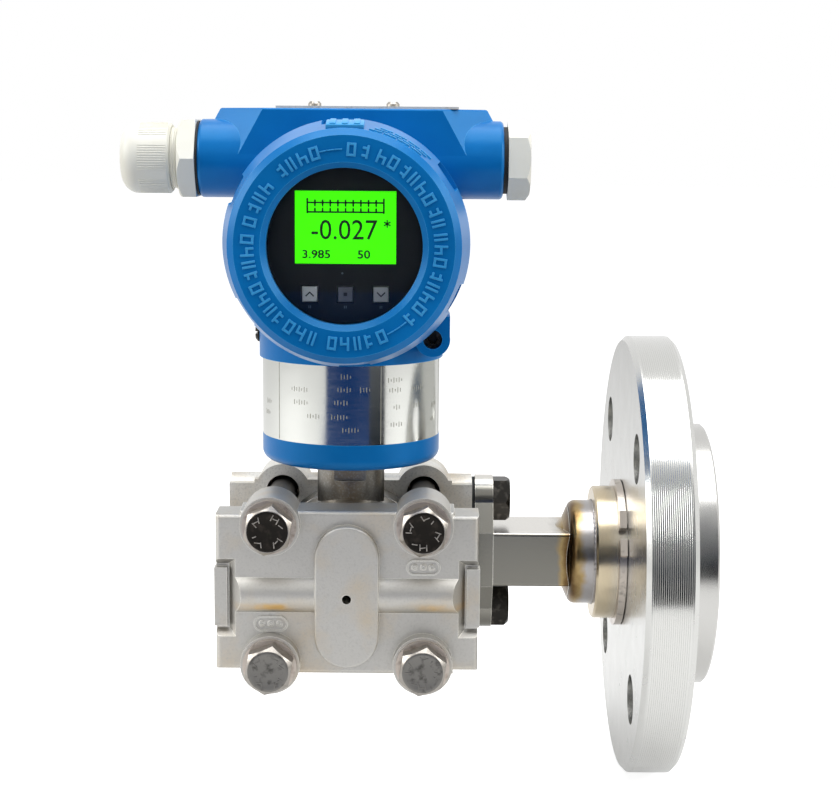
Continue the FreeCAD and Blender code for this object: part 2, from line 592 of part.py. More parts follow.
def make_rear_process_flange():
    """Rear casting: the same slab turned about, with round end bosses for the arm's bolts."""
    body = start_process_flange("rear_process_flange", (AXIS_X, REAR_FACE_Y, "0"), "about", "rear_shift")
    slot_pad(body, "pf_pad_wide", "pf_pad_high", "pf_pad_out")
    rib = circle(sketch_in(body, "YZ_Plane", "rear_shift"), "-pf_boss_long / 2", "0", "pf_rib_od / 2")
    pad(body, rib, "pf_wide", midplane=True)
    for level in ("", "-"):
        boss = circle(sketch_in(body, "YZ_Plane", "rear_shift"), "-pf_boss_long / 2",
                      f"{level}oval_bolt_gap / 2", "end_boss_od / 2")
        pad(body, boss, "pf_wide", midplane=True)
    drill_process_flange(body)
    arm_end = "rear_shift - pf_wide / 2"
    for level in ("", "-"):
        tap = circle(sketch_in(body, "YZ_Plane", arm_end), "-pf_boss_long / 2",
                     f"{level}oval_bolt_gap / 2", "bolt_dia / 2 + bolt_fit")
        pad(body, tap, "end_tap_deep", cut=True, reverse=True)
    port = circle(sketch_in(body, "YZ_Plane", arm_end), "-pf_boss_long / 2", "0", "fill_bore / 2")
    pad(body, port, "pf_wide / 2 - rear_shift", cut=True, reverse=True)
    inner = circle(sketch_in(body, "XZ_Plane"), "0", "0", "pf_port / 2")
    pad(body, inner, "pf_boss_long / 2", cut=True, reverse=True)


def make_sensor_cell():
    """Welded capsule: a thick disc, a raised face and a ring groove each side, weld lines."""
    face, half = "(cell_width / 2 + cell_face_out)", "(cell_width / 2)"
    outer = "(cell_face_od / 2 - cell_ring_inset)"
    side = [(f"{outer} - cell_ring_wire", face), (f"{outer} - cell_ring_wire", f"{face} - cell_groove"),
            (outer, f"{face} - cell_groove"), (outer, face), ("cell_face_od / 2", face),
            ("cell_face_od / 2", half), ("cell_od / 2 - cell_edge", half),
            ("cell_od / 2", f"{half} - cell_edge"), ("cell_od / 2", "cell_width / 6 + cell_edge"),
            ("cell_od / 2 - cell_edge", "cell_width / 6"), ("cell_od / 2", "cell_width / 6 - cell_edge")]
    mirrored = [(across, f"-({up})") for across, up in reversed(side)]
    profile = [("0", face)] + side + mirrored + [("0", f"-{face}")]
    body = turned("sensor_cell", profile, (AXIS_X, AXIS_Y, "0"), "front")
    seat = circle(sketch_in(body, "XZ_Plane", "-cell_od / 2"), "0", "0", "neck_od / 2 + cell_seat_gap")
    pad(body, seat, "cell_od / 2 - cell_seat", cut=True, reverse=True)


def make_cell_seals():
    """One seal ring each side, filling the cell's groove up to the flange."""
    rings = []
    outer = "(cell_face_od / 2 - cell_ring_inset)"
    for name, sign in (("front", ""), ("rear", "-")):
        body = new_body(f"cell_seal_{name}", (AXIS_X, AXIS_Y, "0"), "front", kept=False)
        top, low = "cell_width / 2 + cell_face_out", "cell_width / 2 + cell_face_out - cell_groove"
        wire = rectangle(sketch_in(body, "XZ_Plane"), f"{outer} - cell_ring_wire + ring_fit",
                         f"{outer} - ring_fit", f"{sign}({low})", f"{sign}({top})")
        spin(body, wire)
        rings.append(body)
    group("cell_seals", rings)


def make_sensor_neck():
    """Turned neck that carries the housing, with a milled notch under the housing's base."""
    body = turned("sensor_neck", [
        ("neck_bore / 2", "cell_seat"), ("neck_od / 2", "cell_seat"),
        ("neck_od / 2", "neck_thread_low - 1"), ("neck_thread_od / 2", "neck_thread_low"),
        ("neck_thread_od / 2", "neck_top - 1"), ("neck_thread_od / 2 - 1", "neck_top"),
        ("neck_bore / 2", "neck_top")], (AXIS_X, AXIS_Y, "0"))
    notch = rectangle(sketch_in(body, "XZ_Plane", "neck_od"), "-neck_notch_wide / 2",
                      "neck_notch_wide / 2", "neck_thread_low - 1 - neck_notch_high",
                      "neck_thread_low - 1")
    pad(body, notch, "neck_od / 2 + neck_notch_deep", cut=True)


def corner_at(side, level, y):
    return (f"{side}pf_bolt_x / 2 - axis_back", y, f"{level}pf_bolt_z / 2")


def make_process_bolts():
    """Four long bolts, their nuts behind and a washer under every head."""
    shank = "2 * pf_boss_long + 2 * side_gap + cell_width + 2 * washer_thick + nut_high + bolt_past_nut"
    head_y = FRONT_BOSS_Y + " - washer_thick"
    nut_y = "pf_boss_long / 2 + washer_thick"
    angle = 30.0 + SIZES["bolt_spin"]
    for level, word in (("", "upper"), ("-", "lower")):
        bolts = [hex_bolt(f"{word}_bolt_{name}", corner_at(side, level, head_y), "front", shank, angle)
                 for name, side in (("right", ""), ("left", "-"))]
        group(f"{word}_process_bolts", bolts)
    nuts, washers = [], []
    for level in ("", "-"):
        for side in ("", "-"):
            spot = len(nuts) + 1
            nuts.append(hex_nut(f"nut_{spot}", corner_at(side, level, nut_y), "back", SIZES["nut_spin"] * spot))
            for y, word in ((FRONT_BOSS_Y, "front"), (nut_y, "rear")):
                washers.append(turned(f"washer_{word}_{spot}", [
                    ("bolt_dia / 2 + bolt_fit", "0"), ("washer_od / 2", "0"),
                    ("washer_od / 2", "washer_thick"), ("bolt_dia / 2 + bolt_fit", "washer_thick")],
                    corner_at(side, level, y), "front", kept=False))
    group("process_nuts", nuts)
    group("process_washers", washers)


# ---------------------------------------------------------------- housing and its covers

def make_housing():
    """One casting: base ring, neck, two-chamber barrel, crown, conduit barrels and lock lug."""
    body = new_body("housing_body", (AXIS_X, AXIS_Y, "0"))
    band_top, length = "(band_low + band_high)", "(barrel_front + barrel_back)"
    neck = outline(sketch_in(body, "XZ_Plane"), [
        ("0", "base_low"), ("base_od / 2", "base_low"), ("base_od / 2", "band_low"),
        ("base_od / 2 - band_seat", "band_low"), ("base_od / 2 - band_seat", band_top),
        ("upper_od / 2", band_top), ("upper_od / 2", "cover_axis_z"), ("0", "cover_axis_z")])
    spin(body, neck)
    bottom = amount("base_low")
    soften(body, "base_round", lambda edge: flat_at(edge, "z", bottom))
    barrel = circle(sketch_in(body, "XZ_Plane", "barrel_front"), "0", "cover_axis_z", "barrel_od / 2")
    pad(body, barrel, length, reverse=True)
    make_crown(body)
    conduit = circle(sketch_in(body, "YZ_Plane"), "0", "conduit_z", "conduit_od / 2")
    pad(body, conduit, "2 * conduit_half", midplane=True)
    end = amount("conduit_half")
    soften(body, "conduit_round", lambda edge: near(abs(edge.CenterOfMass.x), end)
           and isinstance(edge.Curve, Part.Circle))
    lug = circle(sketch_in(body, "XZ_Plane", "lug_front"), "lug_x", "lug_z", "lug_od / 2")
    pad(body, lug, "lug_long", reverse=True)
    ear = rectangle(sketch_in(body, "XZ_Plane", "lug_front"), "lug_x - lug_od / 2", "lug_x + lug_ear",
                    "lug_z", "lug_z + lug_ear_high")
    pad(body, ear, "lug_long", reverse=True)
    for face, outward in (("barrel_front", True), ("-barrel_back", False)):
        seat = rectangle(sketch_in(body, "XZ_Plane", face), "-upper_od / 2", "upper_od / 2",
                         "cover_axis_z - cover_od / 2 - 1", "cover_axis_z")
        pad(body, seat, "upper_od / 2", cut=True, reverse=outward)
    hollow_housing(body, length)


def make_crown(body):
    """Flat-topped block with pointed ends, whose four corner faces lean outwards going down."""
    sections = []
    for level in ("conduit_z", "crown_top"):
        out = f"(crown_lean * (crown_top - {level}))"
        tip, corner = f"(crown_half + {out})", f"(crown_half - crown_cut + {out})"
        sections.append(outline(sketch_in(body, "XY_Plane", level), [
            (f"crown_shift - {corner}", "-crown_half_deep"), (f"crown_shift + {corner}", "-crown_half_deep"),
            (f"crown_shift + {tip}", "0"), (f"crown_shift + {corner}", "crown_half_deep"),
            (f"crown_shift - {corner}", "crown_half_deep"), (f"crown_shift - {tip}", "0")]))
    loft = body.newObject("PartDesign::AdditiveLoft", "Crown")
    loft.Profile = sections[0]
    loft.Sections = [sections[1]]
    loft.Ruled = True
    body.Tip = loft
    top = amount("crown_top")
    soften(body, "crown_round", lambda edge: flat_at(edge, "z", top))
    for side, outward in (("", True), ("-", False)):
        end = rectangle(sketch_in(body, "YZ_Plane", f"{side}conduit_half"), "-crown_half_deep",
                        "crown_half_deep", "conduit_z - 1", "crown_top")
        pad(body, end, "crown_half_deep", cut=True, reverse=outward)


def hollow_housing(body, length):
    """Chambers, the rooms in the neck, conduit bores and the tapped holes."""
    bore = "chamber_od / 2"
    front = circle(sketch_in(body, "XZ_Plane", "barrel_front"), "0", "cover_axis_z", bore)
    pad(body, front, "front_chamber", cut=True)
    rear = circle(sketch_in(body, "XZ_Plane", "-barrel_back"), "0", "cover_axis_z", bore)
    pad(body, rear, f"{length} - front_chamber - wall_between", cut=True, reverse=True)
    room = circle(sketch_in(body, "XY_Plane", "wire_room_low"), "0", "0", "wire_room_od / 2")
    pad(body, room, "wire_room_high", cut=True, reverse=True)
    neck_room = circle(sketch_in(body, "XY_Plane", "wire_room_low"), "0", "0",
                       "neck_thread_od / 2 + neck_gap")
    pad(body, neck_room, "wire_room_low - base_low + 1", cut=True)
    for side, turned_round in (("", False), ("-", True)):
        conduit = circle(sketch_in(body, "YZ_Plane", f"{side}conduit_half"), "0", "conduit_z",
                         "conduit_bore / 2")
        pad(body, conduit, "conduit_half - conduit_inset", cut=True, reverse=turned_round)
    lock = circle(sketch_in(body, "XZ_Plane", "lug_front"), "lug_x", "lug_z", "lock_bore / 2")
    pad(body, lock, "lock_depth", cut=True)
    flat = circle(sketch_in(body, "YZ_Plane", "-upper_od / 2 - 1"), "0", "earth_z", "earth_pad_od / 2")
    pad(body, flat, "1 + earth_sink", cut=True, reverse=True)
    tap = circle(sketch_in(body, "YZ_Plane", "-upper_od / 2 - 1"), "0", "earth_z",
                 "earth_dia / 2 + screw_fit")
    pad(body, tap, "1 + earth_sink + earth_deep + 1", cut=True, reverse=True)
    for side in ("-", ""):
        tap = circle(sketch_in(body, "XY_Plane", "crown_top"),
                     f"crown_shift {side or '+'} plate_screw_gap / 2", "0",
                     "plate_screw_dia / 2 + screw_fit")
        pad(body, tap, "plate_screw_deep + 0.5", cut=True)
    grub = circle(sketch_in(body, "XZ_Plane", "-base_od / 2 - 1"), "0", "set_z", "set_dia / 2 + screw_fit")
    pad(body, grub, "base_od / 2 + 1 - neck_thread_od / 2", cut=True, reverse=True)


def make_label_band():
    turned("label_band", [
        ("base_od / 2 - band_seat + band_fit", "band_low + band_fit"),
        ("base_od / 2 - band_seat + band_fit + band_thick", "band_low + band_fit"),
        ("base_od / 2 - band_seat + band_fit + band_thick", "band_low + band_high - band_fit"),
        ("base_od / 2 - band_seat + band_fit", "band_low + band_high - band_fit")],
        (AXIS_X, AXIS_Y, "0"))


def cover_profile(long, window):
    """Half section of a screwed cover; the local XY plane is its seat on the housing."""
    room = "(seal_wire + 2 * seal_room)"
    profile = [
        ("spigot_bore / 2", "-spigot_long"), ("spigot_od / 2 - 0.8", "-spigot_long"),
        ("spigot_od / 2", "0.8 - spigot_long"), ("spigot_od / 2", f"{room} - cover_gap"),
        (f"spigot_od / 2 + {room}", f"{room} - cover_gap"), (f"spigot_od / 2 + {room}", "0"),
        ("cover_od / 2 - 0.8", "0"), ("cover_od / 2", "0.8"), ("cover_od / 2", "cover_skirt"),
        ("cover_face_od / 2 + cover_edge", f"{long} - cover_edge"), ("cover_face_od / 2", long)]
    if window:
        profile += [
            ("window_od / 2 + window_bevel", long), ("window_od / 2", f"{long} - window_bevel"),
            ("window_od / 2", f"{long} - cover_front"), ("glass_od / 2 + glass_fit", f"{long} - cover_front"),
            ("glass_od / 2 + glass_fit", f"{long} - cover_front - glass_thick - glass_ring_thick - 2 * glass_fit"),
            ("spigot_bore / 2", f"{long} - cover_front - glass_thick - glass_ring_thick - 2 * glass_fit")]
    else:
        profile += [("0", long), ("0", f"{long} - cover_front"), ("spigot_bore / 2", f"{long} - cover_front")]
    return profile


def notch_cover(body):
    """Flats round the skirt that a strap or a bar can hold."""
    half = math.radians(SIZES["notch_angle"] / 2)
    start = math.radians(SIZES["notch_start"])
    corners = []
    for radius, angle in (("cover_od / 2 - notch_deep", -half), ("cover_od / 2 + 2", -half),
                          ("cover_od / 2 + 2", half), ("cover_od / 2 - notch_deep", half)):
        turn = start + angle
        corners.append((f"({radius}) * {math.cos(turn):.9f}", f"({radius}) * {math.sin(turn):.9f}"))
    notch = pad(body, outline(sketch_in(body, "XY_Plane", "notch_low"), corners), "cover_skirt + 6",
                cut=True, reverse=True)
    around(body, notch, "notches")


def make_covers():
    """Front cover with a window, plain rear cover, and the seal ring of each."""
    at = (AXIS_X, COVER_FRONT_Y, "cover_axis_z")
    notch_cover(turned("front_cover", cover_profile("cover_long", True), at, "front"))
    make_seal_ring("front_cover_seal", at, "front")
    at = (AXIS_X, COVER_BACK_Y, "cover_axis_z")
    notch_cover(turned("rear_cover", cover_profile("rear_long", False), at, "back"))
    make_seal_ring("rear_cover_seal", at, "back")


def make_seal_ring(label, at, turn):
    """Rubber ring round the spigot, eight-sided in section, squeezed between the two faces."""
    inner, wire = "(spigot_od / 2 + seal_room)", "seal_wire"
    low = "(seal_room - cover_gap)"
    cut = "seal_wire * 0.29"
    turned(label, [
        (f"{inner} + {cut}", low), (f"{inner} + {wire} - {cut}", low),
        (f"{inner} + {wire}", f"{low} + {cut}"), (f"{inner} + {wire}", f"{low} + {wire} - {cut}"),
        (f"{inner} + {wire} - {cut}", f"{low} + {wire}"), (f"{inner} + {cut}", f"{low} + {wire}"),
        (inner, f"{low} + {wire} - {cut}"), (inner, f"{low} + {cut}")], at, turn)


def make_window():
    """Glass disc in the front cover and the ring that clamps it from inside."""
    at = (AXIS_X, COVER_FRONT_Y, "cover_axis_z")
    back = "(cover_long - cover_front - glass_thick)"
    turned("window_glass", [
        ("0", back), ("glass_od / 2", back), ("glass_od / 2", "cover_long - cover_front"),
        ("0", "cover_long - cover_front")], at, "front")
    turned("glass_ring", [
        ("glass_ring_in / 2", f"{back} - glass_ring_thick"), ("glass_od / 2", f"{back} - glass_ring_thick"),
        ("glass_od / 2", back), ("glass_ring_in / 2", back)], at, "front")


# ---------------------------------------------------------------- display unit

def key_places():
    return [("left", "-key_pitch"), ("middle", "0"), ("right", "key_pitch")]


def make_bezel():
    """Black face plate with a window for the panel and three square key holes."""
    at = (AXIS_X, COVER_FRONT_Y, "cover_axis_z")
    body = turned("display_bezel", [
        ("0", BEZEL_BACK), ("bezel_od / 2", BEZEL_BACK), ("bezel_od / 2", f"{BEZEL_FRONT} - bezel_rim"),
        ("bezel_od / 2 - bezel_rim", BEZEL_FRONT), ("0", BEZEL_FRONT)], at, "front")
    window = rectangle(sketch_in(body, "XY_Plane", BEZEL_FRONT), "-lcd_wide / 2 - lcd_fit",
                       "lcd_wide / 2 + lcd_fit", "lcd_rise - lcd_high / 2 - lcd_fit",
                       "lcd_rise + lcd_high / 2 + lcd_fit")
    pad(body, window, "through", cut=True)
    for _, across in key_places():
        hole = rectangle(sketch_in(body, "XY_Plane", BEZEL_FRONT),
                         f"{across} - key_size / 2 - key_play", f"{across} + key_size / 2 + key_play",
                         "-key_drop - key_size / 2 - key_play", "key_size / 2 + key_play - key_drop")
        pad(body, hole, "through", cut=True)
    ledge = rectangle(sketch_in(body, "XY_Plane", BEZEL_FRONT), "-bezel_od", "bezel_od",
                      "-bezel_od", "-ledge_drop")
    pad(body, ledge, "ledge_deep", cut=True)


def make_display_parts():
    """Liquid crystal panel, three keys, two boards and the posts that carry them."""
    at = (AXIS_X, COVER_FRONT_Y, "cover_axis_z")
    body = new_body("lcd_panel", at, "front")
    face = rectangle(sketch_in(body, "XY_Plane", f"{BEZEL_FRONT} - lcd_sink"), "-lcd_wide / 2",
                     "lcd_wide / 2", "lcd_rise - lcd_high / 2", "lcd_rise + lcd_high / 2")
    pad(body, face, "lcd_thick", reverse=True)
    for name, across in key_places():
        body = new_body(f"key_{name}", at, "front")
        face = rectangle(sketch_in(body, "XY_Plane", f"{BEZEL_FRONT} + key_proud - ledge_deep"),
                         f"{across} - key_size / 2", f"{across} + key_size / 2",
                         "-key_drop - key_size / 2", "key_size / 2 - key_drop")
        pad(body, face, "key_long", reverse=True)
        front = amount(f"{BEZEL_FRONT} + key_proud - ledge_deep")
        soften(body, "key_edge", lambda edge: flat_at(edge, "z", front), chamfer=True)
    floor = "(-cover_gap - front_chamber)"
    board = f"({BEZEL_BACK} - board_gap)"
    make_board("display_board", board, "board_od / 2", at)
    make_board("main_board", f"({floor} + main_board_gap + board_thick)", "main_board_od / 2", at)
    posts = []
    for number in range(3):
        post = doc.addObject("Part::Cylinder", f"post_{number + 1}")
        bind(post, "Radius", "post_dia / 2")
        bind(post, "Height", f"{BEZEL_BACK} - {floor}")
        across, up = post_place(number)
        place(post, (f"{AXIS_X} + {across}", f"{COVER_FRONT_Y} - {floor}", f"cover_axis_z + {up}"), "front")
        posts.append(post)
    group("display_posts", posts)


def post_place(number):
    """Three posts on one ring, the first straight up."""
    angle = math.radians(90 + 120 * number)
    return f"post_ring * {math.cos(angle):.9f}", f"post_ring * {math.sin(angle):.9f}"


def make_board(label, front, radius, at):
    body = new_body(label, at, "front")
    sketch = circle(sketch_in(body, "XY_Plane", front), "0", "0", radius)
    for number in range(3):
        across, up = post_place(number)
        circle(sketch, across, up, "post_dia / 2 + screw_fit")
    pad(body, sketch, "board_thick", reverse=True)


# ---------------------------------------------------------------- terminals

def make_terminals():
    """Moulded block with ribs between three clamp screws, below the conduit mouths."""
    floor = "(barrel_front + barrel_back - front_chamber - wall_between + cover_gap)"
    at = (AXIS_X, f"{COVER_BACK_Y} - {floor}", "cover_axis_z")
    body = new_body("terminal_block", at, "back")
    plate = sketch_in(body, "XY_Plane")
    circle(plate, "0", "0", "block_od / 2")
    pad(body, plate, "block_thick")
    trim = rectangle(sketch_in(body, "XY_Plane"), "-block_od", "block_od", "-block_od", "-block_top")
    pad(body, trim, "through", cut=True, reverse=True)
    edges = [f"({step} - terminals / 2) * terminal_pitch" for step in range(SIZES["terminals"] + 1)]
    for across in edges:
        rib = rectangle(sketch_in(body, "XY_Plane", "block_thick"), f"{across} - terminal_rib / 2",
                        f"{across} + terminal_rib / 2", "-terminal_rib_long / 2", "terminal_rib_long / 2")
        pad(body, rib, "terminal_rib_out")
    screws = []
    for step in range(SIZES["terminals"]):
        across = f"({step} + 0.5 - terminals / 2) * terminal_pitch"
        hole = circle(sketch_in(body, "XY_Plane", "block_thick"), across, "0",
                      "terminal_shank / 2 + screw_fit")
        pad(body, hole, "terminal_deep + 0.5", cut=True)
        screws.append(pan_screw(f"terminal_screw_{step + 1}", (
            f"{AXIS_X} - ({across})", f"{at[1]} + block_thick", "cover_axis_z"), "back",
            "terminal_dia", "terminal_head", "terminal_shank", "terminal_deep"))
    group("terminal_screws", screws)


def pan_screw(label, at, turn, head, high, shank, deep, kept=False):
    """Screw with a slightly domed, slotted head; it seats on the local XY plane."""
    body = turned(label, [
        ("0", f"-({deep})"), (f"{shank} / 2", f"-({deep})"), (f"{shank} / 2", "0"), (f"{head} / 2", "0"),
        (f"{head} / 2", f"{high} * 0.55"), (f"{head} * 0.36", high), ("0", high)], at, turn, kept)
    slot = rectangle(sketch_in(body, "XY_Plane", high), f"-{head} * 0.07", f"{head} * 0.07",
                     f"-{head}", head)
    pad(body, slot, f"{high} * 0.45", cut=True)
    return body


# ---------------------------------------------------------------- conduit fittings

def make_gland():
    """Sealing washer, body with hexagon and thread, rubber insert and domed nut."""
    at = (f"{AXIS_X} - conduit_half", AXIS_Y, "conduit_z")
    turned("gland_washer", [
        ("gland_stub_od / 2 + screw_fit", "0"), ("gland_ring_od / 2", "0"),
        ("gland_ring_od / 2", "seal_ring"), ("gland_stub_od / 2 + screw_fit", "seal_ring")], at, "left")
    body = new_body("gland_body", at, "left")
    pad(body, hexagon(sketch_in(body, "XY_Plane", "seal_ring"), "gland_hex", 30.0), "gland_body_long")
    trim_hexagon(body, "gland_hex", "seal_ring + gland_body_long", "seal_ring")
    neck = circle(sketch_in(body, "XY_Plane", "seal_ring + gland_body_long"), "0", "0", "gland_neck_od / 2")
    pad(body, neck, "gland_neck_long")
    stub = circle(sketch_in(body, "XY_Plane", "seal_ring"), "0", "0", "gland_stub_od / 2")
    pad(body, stub, "gland_stub_long + seal_ring", reverse=True)
    bore = circle(sketch_in(body, "XY_Plane", "seal_ring + gland_body_long + gland_neck_long"), "0", "0",
                  "gland_insert_od / 2 + gland_play")
    pad(body, bore, "through", cut=True)
    nut_low = "(seal_ring + gland_body_long + gland_nut_gap)"
    nut_top = f"({nut_low} + gland_nut_long)"
    inner = "(gland_neck_od / 2 + gland_play)"
    body = turned("gland_nut", [
        (inner, nut_low), ("gland_nut_od / 2 - 0.8", nut_low), ("gland_nut_od / 2", f"{nut_low} + 0.8"),
        ("gland_nut_od / 2", nut_top), ("gland_mouth / 2", nut_top),
        ("gland_mouth / 2", f"{nut_top} - gland_lip"),
        ("gland_insert_od / 2 + gland_play", f"{nut_top} - gland_lip - 2"),
        (inner, f"{nut_top} - gland_lip - 5")], at, "left")
    rim, level = amount("gland_nut_od / 2"), amount(nut_top)
    soften(body, "gland_nut_round", lambda edge: isinstance(edge.Curve, Part.Circle)
           and near(edge.Curve.Radius, rim) and flat_at(edge, "z", level))
    top = f"({nut_top} - gland_lip - 2 - gland_play)"
    turned("gland_insert", [
        ("gland_cable / 2", f"{top} - gland_insert_long"), ("gland_insert_od / 2", f"{top} - gland_insert_long"),
        ("gland_insert_od / 2", f"{top} - 1"), ("gland_insert_od / 2 - 1", top), ("gland_cable / 2", top)],
        at, "left")


def trim_hexagon(body, flats, top, low):
    """Cuts a hexagon's outer corners to a cone at its free end."""
    corner = outline(sketch_in(body, "XZ_Plane"), [
        (f"{flats} / 2", top), (f"{flats} * 0.62", top), (f"{flats} * 0.62", f"{top} - {flats} * 0.09")])
    spin(body, corner, cut=True)


def make_blanking_plug():
    at = (f"{AXIS_X} + conduit_half", AXIS_Y, "conduit_z")
    turned("plug_seal", [
        ("gland_stub_od / 2 + screw_fit", "0"), ("plug_ring_od / 2", "0"),
        ("plug_ring_od / 2", "plug_ring"), ("gland_stub_od / 2 + screw_fit", "plug_ring")], at, "right")
    body = new_body("blanking_plug", at, "right")
    pad(body, hexagon(sketch_in(body, "XY_Plane", "plug_ring"), "plug_hex", SIZES["plug_spin"]), "plug_long")
    trim_hexagon(body, "plug_hex", "plug_ring + plug_long", "plug_ring")
    stub = circle(sketch_in(body, "XY_Plane", "plug_ring"), "0", "0", "gland_stub_od / 2")
    pad(body, stub, "plug_stub_long + plug_ring", reverse=True)


# ---------------------------------------------------------------- small parts on the housing

def make_small_parts():
    """Name plate, its screws, earth screw, cover lock screw, set screw and neck seal."""
    body = new_body("name_plate", (AXIS_X + " + crown_shift", AXIS_Y, "crown_top"))
    plate = rectangle(sketch_in(body, "XY_Plane"), "plate_shift - plate_long / 2",
                      "plate_shift + plate_long / 2", "-plate_wide / 2", "plate_wide / 2")
    for side in ("-", ""):
        circle(plate, f"{side}plate_screw_gap / 2", "0", "plate_screw_dia / 2 + screw_fit")
    pad(body, plate, "plate_thick")
    screws = [pan_screw(f"plate_screw_{name}", (f"{AXIS_X} + crown_shift {side} plate_screw_gap / 2", AXIS_Y,
                                                "crown_top + plate_thick"), "up", "plate_screw_head",
                        "plate_screw_high", "plate_screw_dia", "plate_thick + plate_screw_deep")
              for name, side in (("left", "-"), ("right", "+"))]
    group("plate_screws", screws)
    pan_screw("earth_screw", (f"{AXIS_X} - upper_od / 2 + earth_sink", AXIS_Y, "earth_z"), "left",
              "earth_head", "earth_head_thick", "earth_dia", "earth_deep", kept=True)
    body = new_body("cover_lock_screw", (f"{AXIS_X} + lug_x", f"{AXIS_Y} - lug_front + lock_depth",
                                         "lug_z"), "front")
    shank = circle(sketch_in(body, "XY_Plane"), "0", "0", "lock_bore / 2 - screw_fit")
    pad(body, shank, "lock_depth - lock_sink")
    socket_in(body, "lock_depth - lock_sink", "lock_bore / 2")
    body = new_body("swivel_set_screw", (AXIS_X, f"{AXIS_Y} + neck_thread_od / 2 + neck_gap + 0.1", "set_z"),
                    "back")
    shank = circle(sketch_in(body, "XY_Plane"), "0", "0", "set_dia / 2")
    pad(body, shank, "set_long")
    socket_in(body, "set_long", "set_dia / 2")


def socket_in(body, level, flats):
    pad(body, hexagon(sketch_in(body, "XY_Plane", level), flats, 0.0), "socket_deep", cut=True)


def build():
    make_seal_body()
    make_diaphragm()
    make_backing_flange()
    make_retaining_ring()
    make_weld_collar()
    make_arm()
    make_arm_gasket()
    make_arm_bolts()
    make_rear_process_flange()
    make_front_process_flange()
    make_sensor_cell()
    make_cell_seals()
    make_sensor_neck()
    make_process_bolts()
    make_housing()
    make_label_band()
    make_covers()
    make_window()
    make_bezel()
    make_display_parts()
    make_terminals()
    make_gland()
    make_blanking_plug()
    make_small_parts()


def write_out():
    """Checks every object and writes one STEP file a node."""
    doc.recompute()
    for item in doc.Objects:
        if "Invalid" in item.State or "Error" in item.State:
            raise RuntimeError(f"{item.Label} failed: {item.State}")
    os.makedirs("parts", exist_ok=True)
    for node in NODES:
        shape = node.Shape
        if shape.isNull() or not shape.isValid() or not shape.Solids:
            raise RuntimeError(f"{node.Label} has no valid solid")
    for node in NODES:
        node.Shape.exportStep(os.path.join("parts", f"{node.Label}.step"))
        solids, volume = len(node.Shape.Solids), node.Shape.Volume
        print(f"{node.Label}: {solids} solid(s), {volume:.0f} mm3")


build()
write_out()
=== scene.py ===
"""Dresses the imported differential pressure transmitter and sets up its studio.

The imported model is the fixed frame: every place below is taken from its nodes' boxes.
All lengths are metres; MM turns millimetres into them.
"""

import logging
import math
from dataclasses import dataclass
from enum import Enum

import bpy
from mathutils import Matrix, Vector


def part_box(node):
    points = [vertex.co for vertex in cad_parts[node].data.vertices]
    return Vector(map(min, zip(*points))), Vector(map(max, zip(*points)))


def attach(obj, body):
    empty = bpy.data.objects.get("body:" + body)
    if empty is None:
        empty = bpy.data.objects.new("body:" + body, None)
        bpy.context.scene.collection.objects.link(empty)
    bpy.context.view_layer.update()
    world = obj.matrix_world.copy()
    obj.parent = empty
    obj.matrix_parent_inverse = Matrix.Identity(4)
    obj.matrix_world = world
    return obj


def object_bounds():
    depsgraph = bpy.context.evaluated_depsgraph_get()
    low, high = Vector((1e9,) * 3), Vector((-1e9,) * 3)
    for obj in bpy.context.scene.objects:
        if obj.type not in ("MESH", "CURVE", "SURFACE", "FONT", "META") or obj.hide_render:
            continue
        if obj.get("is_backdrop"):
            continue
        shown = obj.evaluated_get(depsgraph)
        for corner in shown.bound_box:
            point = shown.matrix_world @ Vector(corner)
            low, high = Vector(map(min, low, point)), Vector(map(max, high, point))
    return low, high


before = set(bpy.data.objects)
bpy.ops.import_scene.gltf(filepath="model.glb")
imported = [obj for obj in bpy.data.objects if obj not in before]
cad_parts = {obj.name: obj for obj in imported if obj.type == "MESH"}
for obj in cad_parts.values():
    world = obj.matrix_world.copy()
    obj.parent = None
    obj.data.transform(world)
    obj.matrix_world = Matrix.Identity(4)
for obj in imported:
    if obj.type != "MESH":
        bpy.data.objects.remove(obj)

MM = 0.001
NODE_SMOOTH = 30.0       # CAD edges flatter than this many degrees are shaded smooth
LOG = logging.getLogger("transmitter")
Profile = list[tuple[float, float]]


class Turn(Enum):
    """Which way the local +Z axis of a turned piece points in the row frame."""

    OUT = "out"        # towards the viewer, -Y
    RIGHT = "right"    # +X
    LEFT = "left"      # -X


TURNS = {
    Turn.OUT: Matrix.Rotation(math.radians(90), 4, "X"),
    Turn.RIGHT: Matrix.Rotation(math.radians(90), 4, "Y"),
    Turn.LEFT: Matrix.Rotation(math.radians(-90), 4, "Y"),
}


@dataclass(frozen=True)
class Span:
    """The box of one CAD node at rest."""

    low: Vector
    high: Vector

    @property
    def centre(self) -> Vector:
        """Middle of the box."""
        return (self.low + self.high) / 2

    @property
    def size(self) -> Vector:
        """Length of the box along each axis."""
        return self.high - self.low


def span_of(node: str) -> Span:
    """Box of a CAD node.

    Args:
        node: name of the node.
    Returns:
        Its box at rest, in metres.
    """
    low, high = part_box(node)
    return Span(low, high)


def linear(code: str) -> tuple[float, float, float, float]:
    """Turns an sRGB hex value into the linear colour that shaders take.

    Args:
        code: six hex digits, with or without a leading hash.
    Returns:
        Linear red, green, blue and an alpha of one.
    """
    digits = code.lstrip("#")
    parts = [int(digits[spot:spot + 2], 16) / 255 for spot in (0, 2, 4)]
    flat = [part / 12.92 if part <= 0.04045 else ((part + 0.055) / 1.055) ** 2.4 for part in parts]
    return (flat[0], flat[1], flat[2], 1.0)


def per_metre(spacing_mm: float) -> float:
    """Noise scale that gives features of a real size.

    Args:
        spacing_mm: size of one feature in millimetres.
    Returns:
        The scale for coordinates in metres.
    """
    return 1.0 / (spacing_mm * MM)


